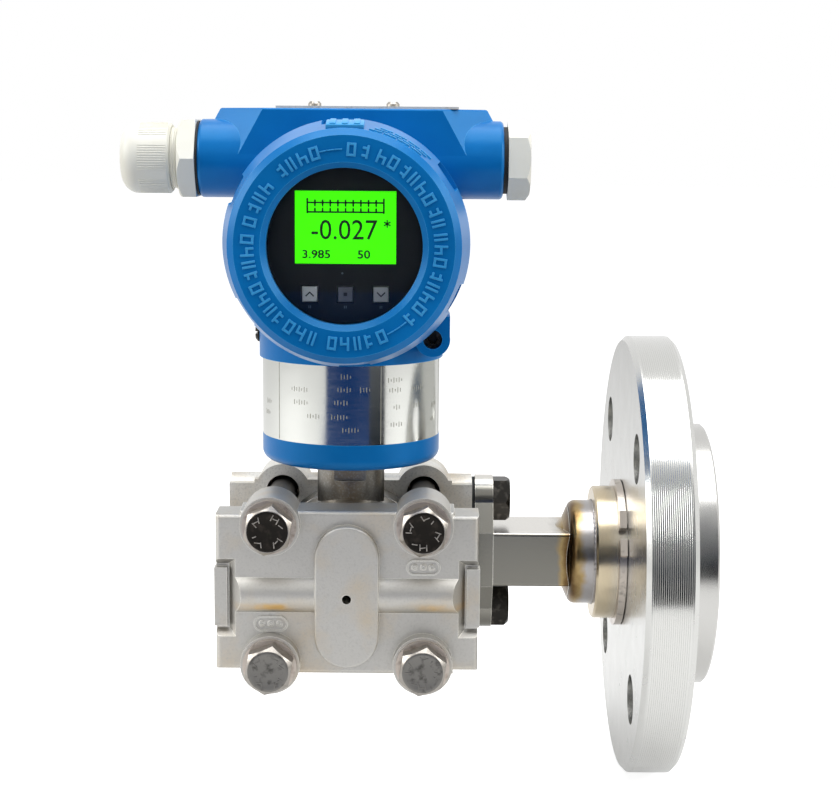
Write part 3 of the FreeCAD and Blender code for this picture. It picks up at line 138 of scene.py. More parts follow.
def add_node(tree: bpy.types.NodeTree, kind: str, settings: dict | None = None,
             links: dict | None = None) -> bpy.types.Node:
    """Adds a node with its settings and links.

    Args:
        tree: node tree of a material or of the world.
        kind: the node's type name.
        settings: properties by name, and input sockets by name or number.
        links: output sockets that feed the node's inputs, by name or number.
    Returns:
        The new node.
    """
    node = tree.nodes.new(kind)
    ordered = sorted((settings or {}).items(), key=lambda pair: not isinstance(pair[0], str)
                     or pair[0][0].isupper())
    for name, value in ordered:
        if isinstance(name, str) and hasattr(node, name):
            setattr(node, name, value)
        else:
            node.inputs[name].default_value = value
    for name, socket in (links or {}).items():
        tree.links.new(socket, node.inputs[name])
    return node


# ---------------------------------------------------------------- finishes

@dataclass(frozen=True)
class Finish:
    """A surface: its colour, gloss and the pattern that its making leaves."""

    title: str
    colour: str
    rough: float
    metal: float = 0.0
    refraction: float = 1.5
    # edge: lighter colour of sharp edges, partly wear and partly a painted highlight; edge_mm: the
    # width it spans
    edge: str = ""
    edge_mm: float = 0.45

    def material(self) -> bpy.types.Material:
        """Builds the material once and returns it.

        Returns:
            The Blender material of this finish.
        """
        made = bpy.data.materials.get(self.title)
        if made is not None:
            return made
        made = bpy.data.materials.new(self.title)
        made.use_nodes = True
        tree = made.node_tree
        tree.nodes.clear()
        shader = add_node(tree, "ShaderNodeBsdfPrincipled", {
            "Base Color": linear(self.colour), "Roughness": self.rough,
            "Metallic": self.metal, "IOR": self.refraction})
        add_node(tree, "ShaderNodeOutputMaterial", links={"Surface": shader.outputs["BSDF"]})
        self.pattern(tree, shader)
        # Sharp edges get a lighter colour: partly wear, partly a painted highlight.
        if self.edge:
            self.edges(tree, shader)
        made.diffuse_color = linear(self.colour)
        return made

    def pattern(self, tree: bpy.types.NodeTree, shader: bpy.types.Node) -> None:
        """Adds the surface's own pattern; a plain finish gets a faint grain.

        Args:
            tree: the material's node tree.
            shader: its surface shader.
        """
        self.grain(tree, shader, 0.8, 0.01)

    @staticmethod
    def place(tree: bpy.types.NodeTree) -> bpy.types.NodeSocket:
        """Coordinates fixed to the piece, in metres."""
        return add_node(tree, "ShaderNodeTexCoord").outputs["Object"]

    def grain(self, tree: bpy.types.NodeTree, shader: bpy.types.Node, spacing_mm: float,
              depth_mm: float, strength: float = 1.0) -> bpy.types.Node:
        """Adds a fine bump of one spacing.

        Args:
            tree: the material's node tree.
            shader: its surface shader.
            spacing_mm: size of a grain.
            depth_mm: height of a grain.
            strength: share of the bump that shows.
        Returns:
            The noise node, for other uses.
        """
        noise = add_node(tree, "ShaderNodeTexNoise", {"Scale": per_metre(spacing_mm), "Detail": 3.0},
                         {"Vector": self.place(tree)})
        bump = add_node(tree, "ShaderNodeBump", {"Strength": strength, "Distance": depth_mm * MM},
                        {"Height": noise.outputs["Fac"]})
        tree.links.new(bump.outputs["Normal"], shader.inputs["Normal"])
        return noise

    @staticmethod
    def gloss(tree: bpy.types.NodeTree, shader: bpy.types.Node, noise: bpy.types.Node,
              low: float, high: float) -> None:
        """Varies the roughness with a noise.

        Args:
            tree: the material's node tree.
            shader: its surface shader.
            noise: the noise node.
            low: roughness where the noise is 0.
            high: roughness where it is 1.
        """
        level = add_node(tree, "ShaderNodeMapRange", {"To Min": low, "To Max": high},
                         {"Value": noise.outputs["Fac"]})
        tree.links.new(level.outputs["Result"], shader.inputs["Roughness"])

    def tone(self, tree: bpy.types.NodeTree, shader: bpy.types.Node,
             share: bpy.types.NodeSocket, other: str) -> None:
        """Mixes a second colour over what feeds the base colour so far.

        Args:
            tree: the material's node tree.
            shader: its surface shader.
            share: how much of the second colour shows, from 0 to 1.
            other: hex value of the second colour.
        """
        fed = shader.inputs["Base Color"].links
        links = {0: share}
        if fed:
            links[6] = fed[0].from_socket
        mix = add_node(tree, "ShaderNodeMix", {"data_type": "RGBA", 6: linear(self.colour),
                                               7: linear(other)}, links)
        tree.links.new(mix.outputs[2], shader.inputs["Base Color"])

    def edges(self, tree: bpy.types.NodeTree, shader: bpy.types.Node) -> None:
        """Lightens sharp edges: partly wear, where coating thins and handling polishes the metal, and
        partly a painted highlight.

        Args:
            tree: the material's node tree.
            shader: its surface shader.
        """
        rounded = add_node(tree, "ShaderNodeBevel", {"samples": 4, "Radius": self.edge_mm * MM})
        flat = add_node(tree, "ShaderNodeNewGeometry")
        match = add_node(tree, "ShaderNodeVectorMath", {"operation": "DOT_PRODUCT"},
                         {0: rounded.outputs["Normal"], 1: flat.outputs["Normal"]})
        share = add_node(tree, "ShaderNodeMapRange", {"From Min": 0.99, "From Max": 0.86,
                                                      "To Max": 0.85},
                         {"Value": match.outputs["Value"]})
        self.tone(tree, shader, share.outputs["Result"], self.edge)

    def band(self, tree: bpy.types.NodeTree, axis: str, middle: float,
             half: float) -> bpy.types.NodeSocket:
        """Share that is 1 in the middle of a band across one axis and 0 outside it.

        Args:
            tree: the material's node tree.
            axis: X, Y or Z.
            middle: place of the band's middle, in metres.
            half: half its width, in metres.
        Returns:
            The share's socket.
        """
        apart = add_node(tree, "ShaderNodeSeparateXYZ", links={0: self.place(tree)})
        offset = add_node(tree, "ShaderNodeMath", {"operation": "SUBTRACT", 1: middle},
                          {0: apart.outputs[axis]})
        away = add_node(tree, "ShaderNodeMath", {"operation": "ABSOLUTE"},
                        {0: offset.outputs["Value"]})
        share = add_node(tree, "ShaderNodeMapRange", {"From Min": half, "From Max": half * 0.3},
                         {"Value": away.outputs["Value"]})
        return share.outputs["Result"]

    def mottle(self, tree: bpy.types.NodeTree, shader: bpy.types.Node, other: str,
               spacing_mm: float, low: float, high: float) -> None:
        """Varies the colour in soft patches between the finish's colour and another.

        Args:
            tree: the material's node tree.
            shader: its surface shader.
            other: hex value of the second colour.
            spacing_mm: size of a patch.
            low: noise level where the second colour begins.
            high: noise level where it is full.
        """
        noise = add_node(tree, "ShaderNodeTexNoise", {"Scale": per_metre(spacing_mm), "Detail": 4.0},
                         {"Vector": self.place(tree)})
        share = add_node(tree, "ShaderNodeMapRange", {"From Min": low, "From Max": high},
                         {"Value": noise.outputs["Fac"]})
        self.tone(tree, shader, share.outputs["Result"], other)


@dataclass(frozen=True)
class PowderCoat(Finish):
    """Powder coat on cast aluminium: even colour, soft gloss and a fine orange peel."""

    drift: str = "#0B71BA"

    def pattern(self, tree: bpy.types.NodeTree, shader: bpy.types.Node) -> None:
        """Adds the orange peel, 1.6 mm across, and a slight drift of tone."""
        self.mottle(tree, shader, self.drift, 26.0, 0.35, 0.75)
        self.grain(tree, shader, 1.6, 0.03, 0.5)
        shader.inputs["Specular Tint"].default_value = linear("#8FDCFF")


@dataclass(frozen=True)
class BlastedSteel(Finish):
    """Bead-blasted cast stainless steel: satin grey, fine pits, faint warm patches."""

    patch: str = "#C6B9A4"
    streak_z: float | None = None

    def pattern(self, tree: bpy.types.NodeTree, shader: bpy.types.Node) -> None:
        """Adds the blasted pits, drawn 0.6 mm across so that they show, and the patches."""
        self.mottle(tree, shader, self.patch, 17.0, 0.50, 0.80)
        self.mottle(tree, shader, "#B3B1AC", 0.8, 0.50, 0.90)
        if self.streak_z is not None:
            self._streak(tree, shader)
        noise = self.grain(tree, shader, 0.6, 0.05, 0.9)
        self.gloss(tree, shader, noise, self.rough - 0.08, self.rough + 0.10)

    def _streak(self, tree: bpy.types.NodeTree, shader: bpy.types.Node) -> None:
        """Adds a broken straw-coloured streak, at most 4 mm high, left by heat along the rib."""
        line = self.band(tree, "Z", self.streak_z, 2.0 * MM)
        middle = span_of("front_process_flange").centre.x
        left = self.band(tree, "X", middle - 27 * MM, 14 * MM)
        right = self.band(tree, "X", middle + 33 * MM, 10 * MM)
        along = add_node(tree, "ShaderNodeMath", {"operation": "ADD"}, {0: left, 1: right})
        noise = add_node(tree, "ShaderNodeTexNoise", {"Scale": per_metre(13.0), "Detail": 3.0},
                         {"Vector": self.place(tree)})
        broken = add_node(tree, "ShaderNodeMapRange", {"From Min": 0.42, "From Max": 0.62},
                          {"Value": noise.outputs["Fac"]})
        spots = add_node(tree, "ShaderNodeMath", {"operation": "MULTIPLY"},
                         {0: line, 1: broken.outputs["Result"]})
        share = add_node(tree, "ShaderNodeMath", {"operation": "MULTIPLY"},
                         {0: spots.outputs["Value"], 1: along.outputs["Value"]})
        self.tone(tree, shader, share.outputs["Value"], "#D6B47A")


@dataclass(frozen=True)
class TurnedSteel(Finish):
    """Lathe-turned stainless steel: bright, with fine rings round the turning axis."""

    feed_mm: float = 0.5
    relief: float = 0.35
    warm_x: float | None = None

    def pattern(self, tree: bpy.types.NodeTree, shader: bpy.types.Node) -> None:
        """Adds the tool's rings, one every feed length, round the X axis."""
        if self.warm_x is not None:
            self.tone(tree, shader, self.band(tree, "X", self.warm_x, 14 * MM), "#C9BBA0")
        apart = add_node(tree, "ShaderNodeSeparateXYZ", links={0: self.place(tree)})
        flat = add_node(tree, "ShaderNodeCombineXYZ", links={"Y": apart.outputs["Y"],
                                                             "Z": apart.outputs["Z"]})
        radius = add_node(tree, "ShaderNodeVectorMath", {"operation": "LENGTH"},
                          {0: flat.outputs["Vector"]})
        along = add_node(tree, "ShaderNodeMath", {"operation": "ADD"},
                         {0: radius.outputs["Value"], 1: apart.outputs["X"]})
        turns = add_node(tree, "ShaderNodeMath", {"operation": "MULTIPLY",
                                                  1: 2 * math.pi / (self.feed_mm * MM)},
                         {0: along.outputs["Value"]})
        ring = add_node(tree, "ShaderNodeMath", {"operation": "SINE"}, {0: turns.outputs["Value"]})
        bump = add_node(tree, "ShaderNodeBump", {"Strength": self.relief, "Distance": 0.006 * MM},
                        {"Height": ring.outputs["Value"]})
        tree.links.new(bump.outputs["Normal"], shader.inputs["Normal"])
        noise = add_node(tree, "ShaderNodeTexNoise", {"Scale": per_metre(9.0), "Detail": 5.0},
                         {"Vector": self.place(tree)})
        self.gloss(tree, shader, noise, self.rough * 0.75, self.rough * 1.35)


@dataclass(frozen=True)
class TintedSteel(Finish):
    """Steel that welding has tinted: straw and brown beside the seam, grey away from it."""

    seam_x: float = 0.0
    reach: float = 0.006
    # colour painted on the upward faces away from the seam: a painted highlight; empty for none
    top: str = ""

    def pattern(self, tree: bpy.types.NodeTree, shader: bpy.types.Node) -> None:
        """Adds the heat tint along X, its edge broken by a 6 mm noise."""
        apart = add_node(tree, "ShaderNodeSeparateXYZ", links={0: self.place(tree)})
        noise = add_node(tree, "ShaderNodeTexNoise", {"Scale": per_metre(6.0), "Detail": 4.0},
                         {"Vector": self.place(tree)})
        offset = add_node(tree, "ShaderNodeMath", {"operation": "SUBTRACT", 1: self.seam_x},
                          {0: apart.outputs["X"]})
        away = add_node(tree, "ShaderNodeMath", {"operation": "ABSOLUTE"}, {0: offset.outputs["Value"]})
        broken = add_node(tree, "ShaderNodeMath", {"operation": "MULTIPLY_ADD", 1: self.reach},
                          {0: noise.outputs["Fac"], 2: away.outputs["Value"]})
        share = add_node(tree, "ShaderNodeMapRange",
                         {"From Min": self.reach * 0.3, "From Max": self.reach * 1.9},
                         {"Value": broken.outputs["Value"]})
        ramp = add_node(tree, "ShaderNodeValToRGB", links={"Fac": share.outputs["Result"]})
        tones = ((0.0, "#4A4032"), (0.22, "#6B5334"), (0.45, "#A08A60"), (0.72, self.colour))
        while len(ramp.color_ramp.elements) < len(tones):
            ramp.color_ramp.elements.new(0.5)
        for stop, (level, tone) in zip(ramp.color_ramp.elements, tones):
            stop.position = level
            stop.color = linear(tone)
        tree.links.new(ramp.outputs["Color"], shader.inputs["Base Color"])
        self.grain(tree, shader, 0.9, 0.02, 0.5)
        # Upward faces painted lighter: a painted highlight.
        if self.top:
            self._paint_top_highlight(tree, shader, share.outputs["Result"])

    def _paint_top_highlight(self, tree: bpy.types.NodeTree, shader: bpy.types.Node,
                    away: bpy.types.NodeSocket) -> None:
        """Paints the upward-facing faces lighter away from the seam: a painted highlight.

        Args:
            tree: the material's node tree.
            shader: its surface shader.
            away: how far from the seam, from 0 to 1.
        """
        facing = add_node(tree, "ShaderNodeNewGeometry")
        apart = add_node(tree, "ShaderNodeSeparateXYZ", links={0: facing.outputs["Normal"]})
        up = add_node(tree, "ShaderNodeMapRange", {"From Min": 0.6, "From Max": 0.9},
                      {"Value": apart.outputs["Z"]})
        share = add_node(tree, "ShaderNodeMath", {"operation": "MULTIPLY"},
                         {0: up.outputs["Result"], 1: away})
        self.tone(tree, shader, share.outputs["Value"], self.top)


@dataclass(frozen=True)
class PolishedBand(Finish):
    """Thin polished stainless strip: a mirror with a slight wave and fine hairlines."""

    def pattern(self, tree: bpy.types.NodeTree, shader: bpy.types.Node) -> None:
        """Adds the strip's wave, 14 mm long, and hairlines round it."""
        squeezed = add_node(tree, "ShaderNodeMapping", {"Scale": (1.0, 1.0, 14.0)},
                            {"Vector": self.place(tree)})
        hair = add_node(tree, "ShaderNodeTexNoise", {"Scale": per_metre(7.0), "Detail": 6.0},
                        {"Vector": squeezed.outputs["Vector"]})
        self.gloss(tree, shader, hair, self.rough * 0.6, self.rough * 1.6)
        wave = add_node(tree, "ShaderNodeTexNoise", {"Scale": per_metre(14.0), "Detail": 1.0},
                        {"Vector": self.place(tree)})
        bump = add_node(tree, "ShaderNodeBump", {"Strength": 0.5, "Distance": 0.12 * MM},
                        {"Height": wave.outputs["Fac"]})
        tree.links.new(bump.outputs["Normal"], shader.inputs["Normal"])


@dataclass(frozen=True)
class WornSteel(Finish):
    """Plated or blacked fastener steel with handling marks in a second tone."""

    worn: str = "#D2D0CC"

    def pattern(self, tree: bpy.types.NodeTree, shader: bpy.types.Node) -> None:
        """Adds marks of 2.5 mm and a 0.6 mm grain."""
        self.mottle(tree, shader, self.worn, 2.5, 0.52, 0.74)
        self.grain(tree, shader, 0.6, 0.03, 0.7)


@dataclass(frozen=True)
class BlackedShank(WornSteel):
    """Bolt steel with a bare, handled head and a black oxide shank behind it."""

    head_back: float = 0.0

    def pattern(self, tree: bpy.types.NodeTree, shader: bpy.types.Node) -> None:
        """Adds the handling marks, and the black from the head's back inwards."""
        super().pattern(tree, shader)
        apart = add_node(tree, "ShaderNodeSeparateXYZ", links={0: self.place(tree)})
        share = add_node(tree, "ShaderNodeMapRange", {
            "From Min": self.head_back, "From Max": self.head_back + 0.4 * MM},
            {"Value": apart.outputs["Y"]})
        self.tone(tree, shader, share.outputs["Result"], "#2B2723")


@dataclass(frozen=True)
class MouldedNylon(Finish):
    """Injection-moulded nylon: ivory, softly glossy, a little uneven."""

    def pattern(self, tree: bpy.types.NodeTree, shader: bpy.types.Node) -> None:
        """Adds the slight unevenness of a moulding, 3 mm across."""
        self.mottle(tree, shader, "#DBD8CB", 12.0, 0.45, 0.8)
        self.grain(tree, shader, 3.0, 0.05, 0.35)


@dataclass(frozen=True)
class ClearGlass(Finish):
    """Toughened float glass, clear."""

    def pattern(self, tree: bpy.types.NodeTree, shader: bpy.types.Node) -> None:
        """Makes the surface pass light."""
        shader.inputs["Transmission Weight"].default_value = 1.0


@dataclass(frozen=True)
class LitPanel(Finish):
    """Back-lit liquid crystal panel: an even glow with a fine cell grid."""

    glow: float = 0.9

    def pattern(self, tree: bpy.types.NodeTree, shader: bpy.types.Node) -> None:
        """Adds the glow and the grid of 0.45 mm cells, drawn coarse enough to show."""
        grid = add_node(tree, "ShaderNodeTexBrick", {
            "Scale": per_metre(0.45), "Mortar Size": 0.04, "offset": 0.0,
            "Color1": linear(self.colour), "Color2": linear(self.colour), "Mortar": linear("#40F200")},
            {"Vector": self._facing(tree)})
        tree.links.new(grid.outputs["Color"], shader.inputs["Base Color"])
        tree.links.new(grid.outputs["Color"], shader.inputs["Emission Color"])
        shader.inputs["Emission Strength"].default_value = self.glow

    def _facing(self, tree: bpy.types.NodeTree) -> bpy.types.NodeSocket:
        """Coordinates that lie in the panel's face."""
        apart = add_node(tree, "ShaderNodeSeparateXYZ", links={0: self.place(tree)})
        flat = add_node(tree, "ShaderNodeCombineXYZ", links={"X": apart.outputs["X"],
                                                             "Y": apart.outputs["Z"]})
        return flat.outputs["Vector"]


@dataclass(frozen=True)
class CircuitLacquer(Finish):
    """Green solder resist over copper tracks."""

    def pattern(self, tree: bpy.types.NodeTree, shader: bpy.types.Node) -> None:
        """Adds tracks as a 3 mm cell pattern."""
        cells = add_node(tree, "ShaderNodeTexVoronoi", {"feature": "DISTANCE_TO_EDGE",
                                                        "Scale": per_metre(3.0)},
                         {"Vector": self.place(tree)})
        share = add_node(tree, "ShaderNodeMapRange", {"From Min": 0.04, "From Max": 0.08},
                         {"Value": cells.outputs["Distance"]})
        mix = add_node(tree, "ShaderNodeMix", {"data_type": "RGBA", 6: linear("#3E7A4A"),
                                               7: linear(self.colour)}, {0: share.outputs["Result"]})
        tree.links.new(mix.outputs[2], shader.inputs["Base Color"])


# Powder-coated aluminium: mid blue, soft gloss, lighter on its edges, partly wear and partly a painted
# highlight.
BLUE_COAT = PowderCoat("Powder coated cast aluminium", "#0766A9", 0.30, refraction=1.42,
                       edge="#45A4DA", edge_mm=0.35)
# Raised marks and grip lugs: the same coat, painted lighter all over as a painted highlight.
HIGHLIT_MARK_COAT = PowderCoat("Powder coat on raised marks painted lighter", "#348FCB", 0.34, refraction=1.42,
                       drift="#429BD4")
# Bead-blasted stainless castings: satin, no clear reflections, edges lighter, partly rubbed bright and
# partly a painted highlight.
FRONT_CASTING = BlastedSteel("Bead blasted cast stainless steel", "#C2C0BB", 0.50, 1.0,
                             edge="#F0EEE6", edge_mm=0.5,
                             streak_z=-4.6 * MM)
# The rear casting is the same blasted steel with its colour painted lighter, as painted light where
# more light falls on it; its edges are partly wear, partly a painted highlight.
LIT_REAR_CASTING = BlastedSteel("Bead blasted rear casting painted lighter", "#E4E2DC", 0.50, 1.0, edge="#E2DFD6")
# The neck and cell are darker and smoother; their lighter edges are partly wear and partly a painted
# highlight.
NECK_STEEL = BlastedSteel("Machined dark stainless steel", "#8C8983", 0.34, 1.0,
                          patch="#8B7C68", edge="#C9C6BE")
# The arm is brushed, with heat tint beside the collar, lighter edges that are partly wear and partly a
# painted highlight, and upward faces painted lighter away from the collar as a painted highlight.
ARM_STEEL = TintedSteel("Heat tinted arm steel", "#7F7D76", 0.24, 1.0, edge="#D8D5CB",
                        seam_x=span_of("seal_arm").high.x, reach=5 * MM, top="#D9D6D0")
# The collar carries the weld, brown where it meets the arm.
WELD = TintedSteel("Heat tinted weld steel", "#A7A4A4", 0.28, 1.0,
                   seam_x=span_of("weld_collar").low.x, reach=7 * MM)
# Turned stainless: bright faces with tool rings, warm where the hub was heated.
TURNED = TurnedSteel("Turned stainless steel", "#CFCFCC", 0.24, 1.0)
GROOVED = TurnedSteel("Grooved stainless rim", "#D2D2CF", 0.15, 1.0, relief=0.05)
WARM_HUB = TurnedSteel("Turned stainless seal body", "#C6C5C2", 0.22, 1.0,
                       warm_x=span_of("seal_body").low.x)
# Polished stainless strip: a mirror.
BAND = PolishedBand("Polished stainless strip", "#DCDDD8", 0.13, 1.0)
# Brushed stainless plate.
PLATE = WornSteel("Brushed stainless plate", "#CFCFCB", 0.55, 1.0, worn="#B4B4B0")
# Bolts: bare heads, black shanks.
UPPER_BOLT = BlackedShank("Bolt steel with blacked shank", "#A8A29A", 0.34, 1.0, worn="#7D766D",
                          head_back=span_of("upper_process_bolts").low.y + 6.6 * MM)
# Bright stainless fastener steel.
ZINC = WornSteel("Zinc plated steel", "#A5A099", 0.36, 1.0, worn="#847E76")
# Passivated washers, faintly pink.
WASHER = WornSteel("Passivated washer steel", "#C9BFB5", 0.38, 1.0, worn="#A79A8E")
# Grey stamped head faces.
GREY_FACE = WornSteel("Stamped zinc plated steel", "#7B7975", 0.44, 1.0, worn="#3F3D3A")
# Blacked head faces with light rubbed spots.
BLACK_FACE = WornSteel("Black oxide steel", "#26231F", 0.42, 0.85, worn="#3D3731")
# Black oxide fasteners; on the cover lock screw the black also stands for the shade in its recess, a
# painted shade.
BLACK_BOLT = WornSteel("Black oxide fastener steel", "#2C2A27", 0.34, 0.9, worn="#57534D")
# Spring steel ring.
SPRING = WornSteel("Spring steel", "#C6BDB4", 0.28, 1.0, worn="#8F8981")
# Cream nylon of gland and plug.
IVORY = MouldedNylon("Moulded ivory nylon", "#DEDDD3", 0.42, refraction=1.45)
# Black nitrile rubber.
RUBBER = Finish("Nitrile rubber", "#121314", 0.70, refraction=1.52)
# Window glass.
GLASS = ClearGlass("Toughened clear glass", "#FFFFFF", 0.0, refraction=1.45)
# Display parts.
PANEL_BLACK = Finish("Black moulded polycarbonate", "#0A0F14", 0.40, refraction=1.5)
RING_BLACK = Finish("Black anodised aluminium", "#0D0F12", 0.45, 0.2)
LIT = LitPanel("Back lit crystal panel", "#44FF00", 0.30, refraction=1.3)
GLYPH = Finish("Dark crystal segments", "#0B3A08", 0.60)
PRINT = Finish("Grey panel print", "#5D6670", 0.60)
KEY_LIGHT = Finish("Silver grey key cap", "#CBD0D4", 0.45)
KEY_DARK = Finish("Slate key cap", "#5B606E", 0.45)
KEY_MID = Finish("Mid grey key cap", "#A4A9AF", 0.45)
KEY_INK = Finish("Black key print", "#0D0F12", 0.55)
BOARD = CircuitLacquer("Green solder resist", "#0F4A28", 0.35)
PHENOLIC = Finish("Black phenolic moulding", "#15161A", 0.45)
ETCH = WornSteel("Etched steel mark", "#A7A69C", 0.5, 0.6, worn="#8D8975")

NODE_FINISHES = {
    BLUE_COAT: ("housing_body", "front_cover", "rear_cover"),
    FRONT_CASTING: ("front_process_flange",),
    LIT_REAR_CASTING: ("rear_process_flange",),
    NECK_STEEL: ("sensor_cell", "sensor_neck"),
    ARM_STEEL: ("seal_arm",),
    WELD: ("weld_collar",),
    TURNED: ("backing_flange", "diaphragm"),
    WARM_HUB: ("seal_body",),
    BAND: ("label_band",),
    PLATE: ("name_plate",),
    UPPER_BOLT: ("upper_process_bolts",),
    ZINC: ("lower_process_bolts", "process_nuts", "plate_screws", "swivel_set_screw",
           "terminal_screws", "display_posts"),
    WASHER: ("process_washers",),
    # The cover lock screw takes this black as painted shade for its recess.
    BLACK_BOLT: ("arm_bolts", "cover_lock_screw", "earth_screw"),
    SPRING: ("retaining_ring",),
    IVORY: ("gland_body", "gland_nut", "blanking_plug"),
    RUBBER: ("arm_gasket", "cell_seals", "front_cover_seal", "rear_cover_seal", "gland_insert",
             "gland_washer", "plug_seal"),
    GLASS: ("window_glass",),
    RING_BLACK: ("glass_ring",),
    PANEL_BLACK: ("display_bezel",),
    LIT: ("lcd_panel",),
    KEY_LIGHT: ("key_left",),
    KEY_DARK: ("key_middle",),
    KEY_MID: ("key_right",),
    BOARD: ("display_board", "main_board"),
    PHENOLIC: ("terminal_block",),
}


# ---------------------------------------------------------------- modelling

def clear_selection() -> None:
    """Leaves nothing selected, so that an operator acts on its own piece only."""
    if bpy.context.object is not None and bpy.context.object.mode != "OBJECT":
        bpy.ops.object.mode_set(mode="OBJECT")
    bpy.ops.object.select_all(action="DESELECT")


def only(piece: bpy.types.Object) -> bpy.types.Object:
    """Selects one piece and makes it active."""
    clear_selection()
    piece.select_set(True)
    bpy.context.view_layer.objects.active = piece
    return piece


def tidy_mesh(piece: bpy.types.Object) -> None:
    """Merges doubled points and turns the faces outwards."""
    only(piece)
    bpy.ops.object.mode_set(mode="EDIT")
    bpy.ops.mesh.select_all(action="SELECT")
    bpy.ops.mesh.remove_doubles(threshold=1e-6)
    bpy.ops.mesh.normals_make_consistent(inside=False)
    bpy.ops.object.mode_set(mode="OBJECT")


def lathe(name: str, profile: Profile, segments: int = 96) -> bpy.types.Object:
    """Turns a profile round Z by extruding a ring from point to point.

    Args:
        name: name of the new object.
        profile: (radius, height) pairs; a radius of zero closes a pole.
        segments: sides of the ring.
    Returns:
        The turned object, at the origin.
    """
    clear_selection()
    first_radius, first_height = profile[0]
    bpy.ops.mesh.primitive_circle_add(vertices=segments, radius=max(first_radius, 1e-7),
                                      location=(0, 0, first_height))
    piece = bpy.context.object
    piece.name = name
    bpy.ops.object.mode_set(mode="EDIT")
    bpy.ops.mesh.select_all(action="SELECT")
    for (radius, height), (next_radius, next_height) in zip(profile, profile[1:]):
        bpy.ops.mesh.extrude_region_move(
            TRANSFORM_OT_translate={"value": (0, 0, next_height - height)})
        share = max(next_radius, 1e-7) / max(radius, 1e-7)
        bpy.ops.transform.resize(value=(share, share, 1), center_override=(0, 0, 0))
    bpy.ops.object.mode_set(mode="OBJECT")
    bpy.ops.object.transform_apply(location=True, rotation=True, scale=True)
    tidy_mesh(piece)
    return piece


def bar(name: str, size: tuple[float, float, float], at: tuple[float, float, float] = (0, 0, 0),
        edge: float = 0.0) -> bpy.types.Object:
    """Makes a small block with rounded edges.

    Args:
        name: name of the new object.
        size: length along X, Y and Z.
        at: its centre.
        edge: width of the rounding, or zero for sharp edges.
    Returns:
        The block, with its place in its mesh.
    """
    clear_selection()
    bpy.ops.mesh.primitive_cube_add(size=1.0, location=at)
    piece = bpy.context.object
    piece.name = name
    piece.scale = size
    bpy.ops.object.transform_apply(location=True, rotation=True, scale=True)
    if edge > 0:
        bpy.ops.object.mode_set(mode="EDIT")
        bpy.ops.mesh.select_all(action="SELECT")
        bpy.ops.mesh.bevel(offset=edge, segments=2, affect="EDGES")
        bpy.ops.object.mode_set(mode="OBJECT")
    return piece


def numerals(name: str, text: str, high: float, wide: float, depth: float,
             heavy: float) -> bpy.types.Object:
    """Makes solid figures that stand in the XZ plane and face -Y, centred on the origin.

    Args:
        name: name of the new object.
        text: the figures.
        high: height of the figures.
        wide: width of the whole line.
        depth: thickness towards the viewer.
        heavy: extra width of each stroke, as a share of the height.
    Returns:
        The figures as one mesh.
    """
    clear_selection()
    bpy.ops.object.text_add(location=(0, 0, 0))
    piece = bpy.context.object
    piece.name = name
    piece.data.body = text
    piece.data.size = high
    piece.data.offset = heavy * high
    piece.data.extrude = depth / 2
    piece.data.resolution_u = 3
    bpy.ops.object.convert(target="MESH")
    piece = bpy.context.object
    piece.name = name
    move_mesh(piece, Matrix.Rotation(math.radians(90), 4, "X"))
    across = [point.co.x for point in piece.data.vertices]
    up = [point.co.z for point in piece.data.vertices]
    move_mesh(piece, Matrix.Translation((-(min(across) + max(across)) / 2, 0,
                                         -(min(up) + max(up)) / 2)))
    move_mesh(piece, Matrix.Diagonal((wide / (max(across) - min(across)), 1.0,
                                      high / (max(up) - min(up)), 1.0)))
    tidy_mesh(piece)
    return piece


def move_mesh(piece: bpy.types.Object, change: Matrix) -> bpy.types.Object:
    """Moves a piece's mesh and leaves its object at the origin."""
    piece.data.transform(change)
    piece.data.update()
    return piece


def copy_of(piece: bpy.types.Object, change: Matrix) -> bpy.types.Object:
    """Copies a piece with its own mesh, moved.

    Args:
        piece: the piece that is modelled once.
        change: where the copy goes, from the piece's own place.
    Returns:
        The copy.
    """
    twin = piece.copy()
    twin.data = piece.data.copy()
    bpy.context.scene.collection.objects.link(twin)
    return move_mesh(twin, change)


def joined(name: str, pieces: list[bpy.types.Object]) -> bpy.types.Object:
    """Joins pieces into one object.

    Args:
        name: name of the result.
        pieces: what is joined.
    Returns:
        The joined object.
    """
    clear_selection()
    for piece in pieces:
        piece.select_set(True)
    bpy.context.view_layer.objects.active = pieces[0]
    bpy.ops.object.join()
    pieces[0].name = name
    return pieces[0]


def dress(piece: bpy.types.Object, finish: Finish, body: str,
          smooth: float = 38.0) -> bpy.types.Object:
    """Gives a finished piece its finish, shading and body.

    Args:
        piece: the piece, in place.
        finish: its surface.
        body: the CAD body that it rides on.
        smooth: edges flatter than this many degrees are shaded smooth.
    Returns:
        The piece.
    """
    only(piece)
    piece.data.materials.clear()
    piece.data.materials.append(finish.material())
    bpy.ops.object.shade_smooth_by_angle(angle=math.radians(smooth))
    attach(piece, body)
    LOG.info("piece %s: %s on %s, %d faces", piece.name, finish.title, body,
             len(piece.data.polygons))
    return piece


def at_place(turn: Turn, spot: Vector) -> Matrix:
    """Turn and shift that bring a piece from the origin to its place."""
    return Matrix.Translation(spot) @ TURNS[turn]


def dress_nodes() -> None:
    """Gives every CAD node its finish."""
    for finish, names in NODE_FINISHES.items():
        for name in names:
            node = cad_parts[name]
            node.data.materials.clear()
            node.data.materials.append(finish.material())
            only(node)
            bpy.ops.object.shade_smooth_by_angle(angle=math.radians(NODE_SMOOTH))
            LOG.info("node %s: %s", name, finish.title)


# ---------------------------------------------------------------- sub-assemblies

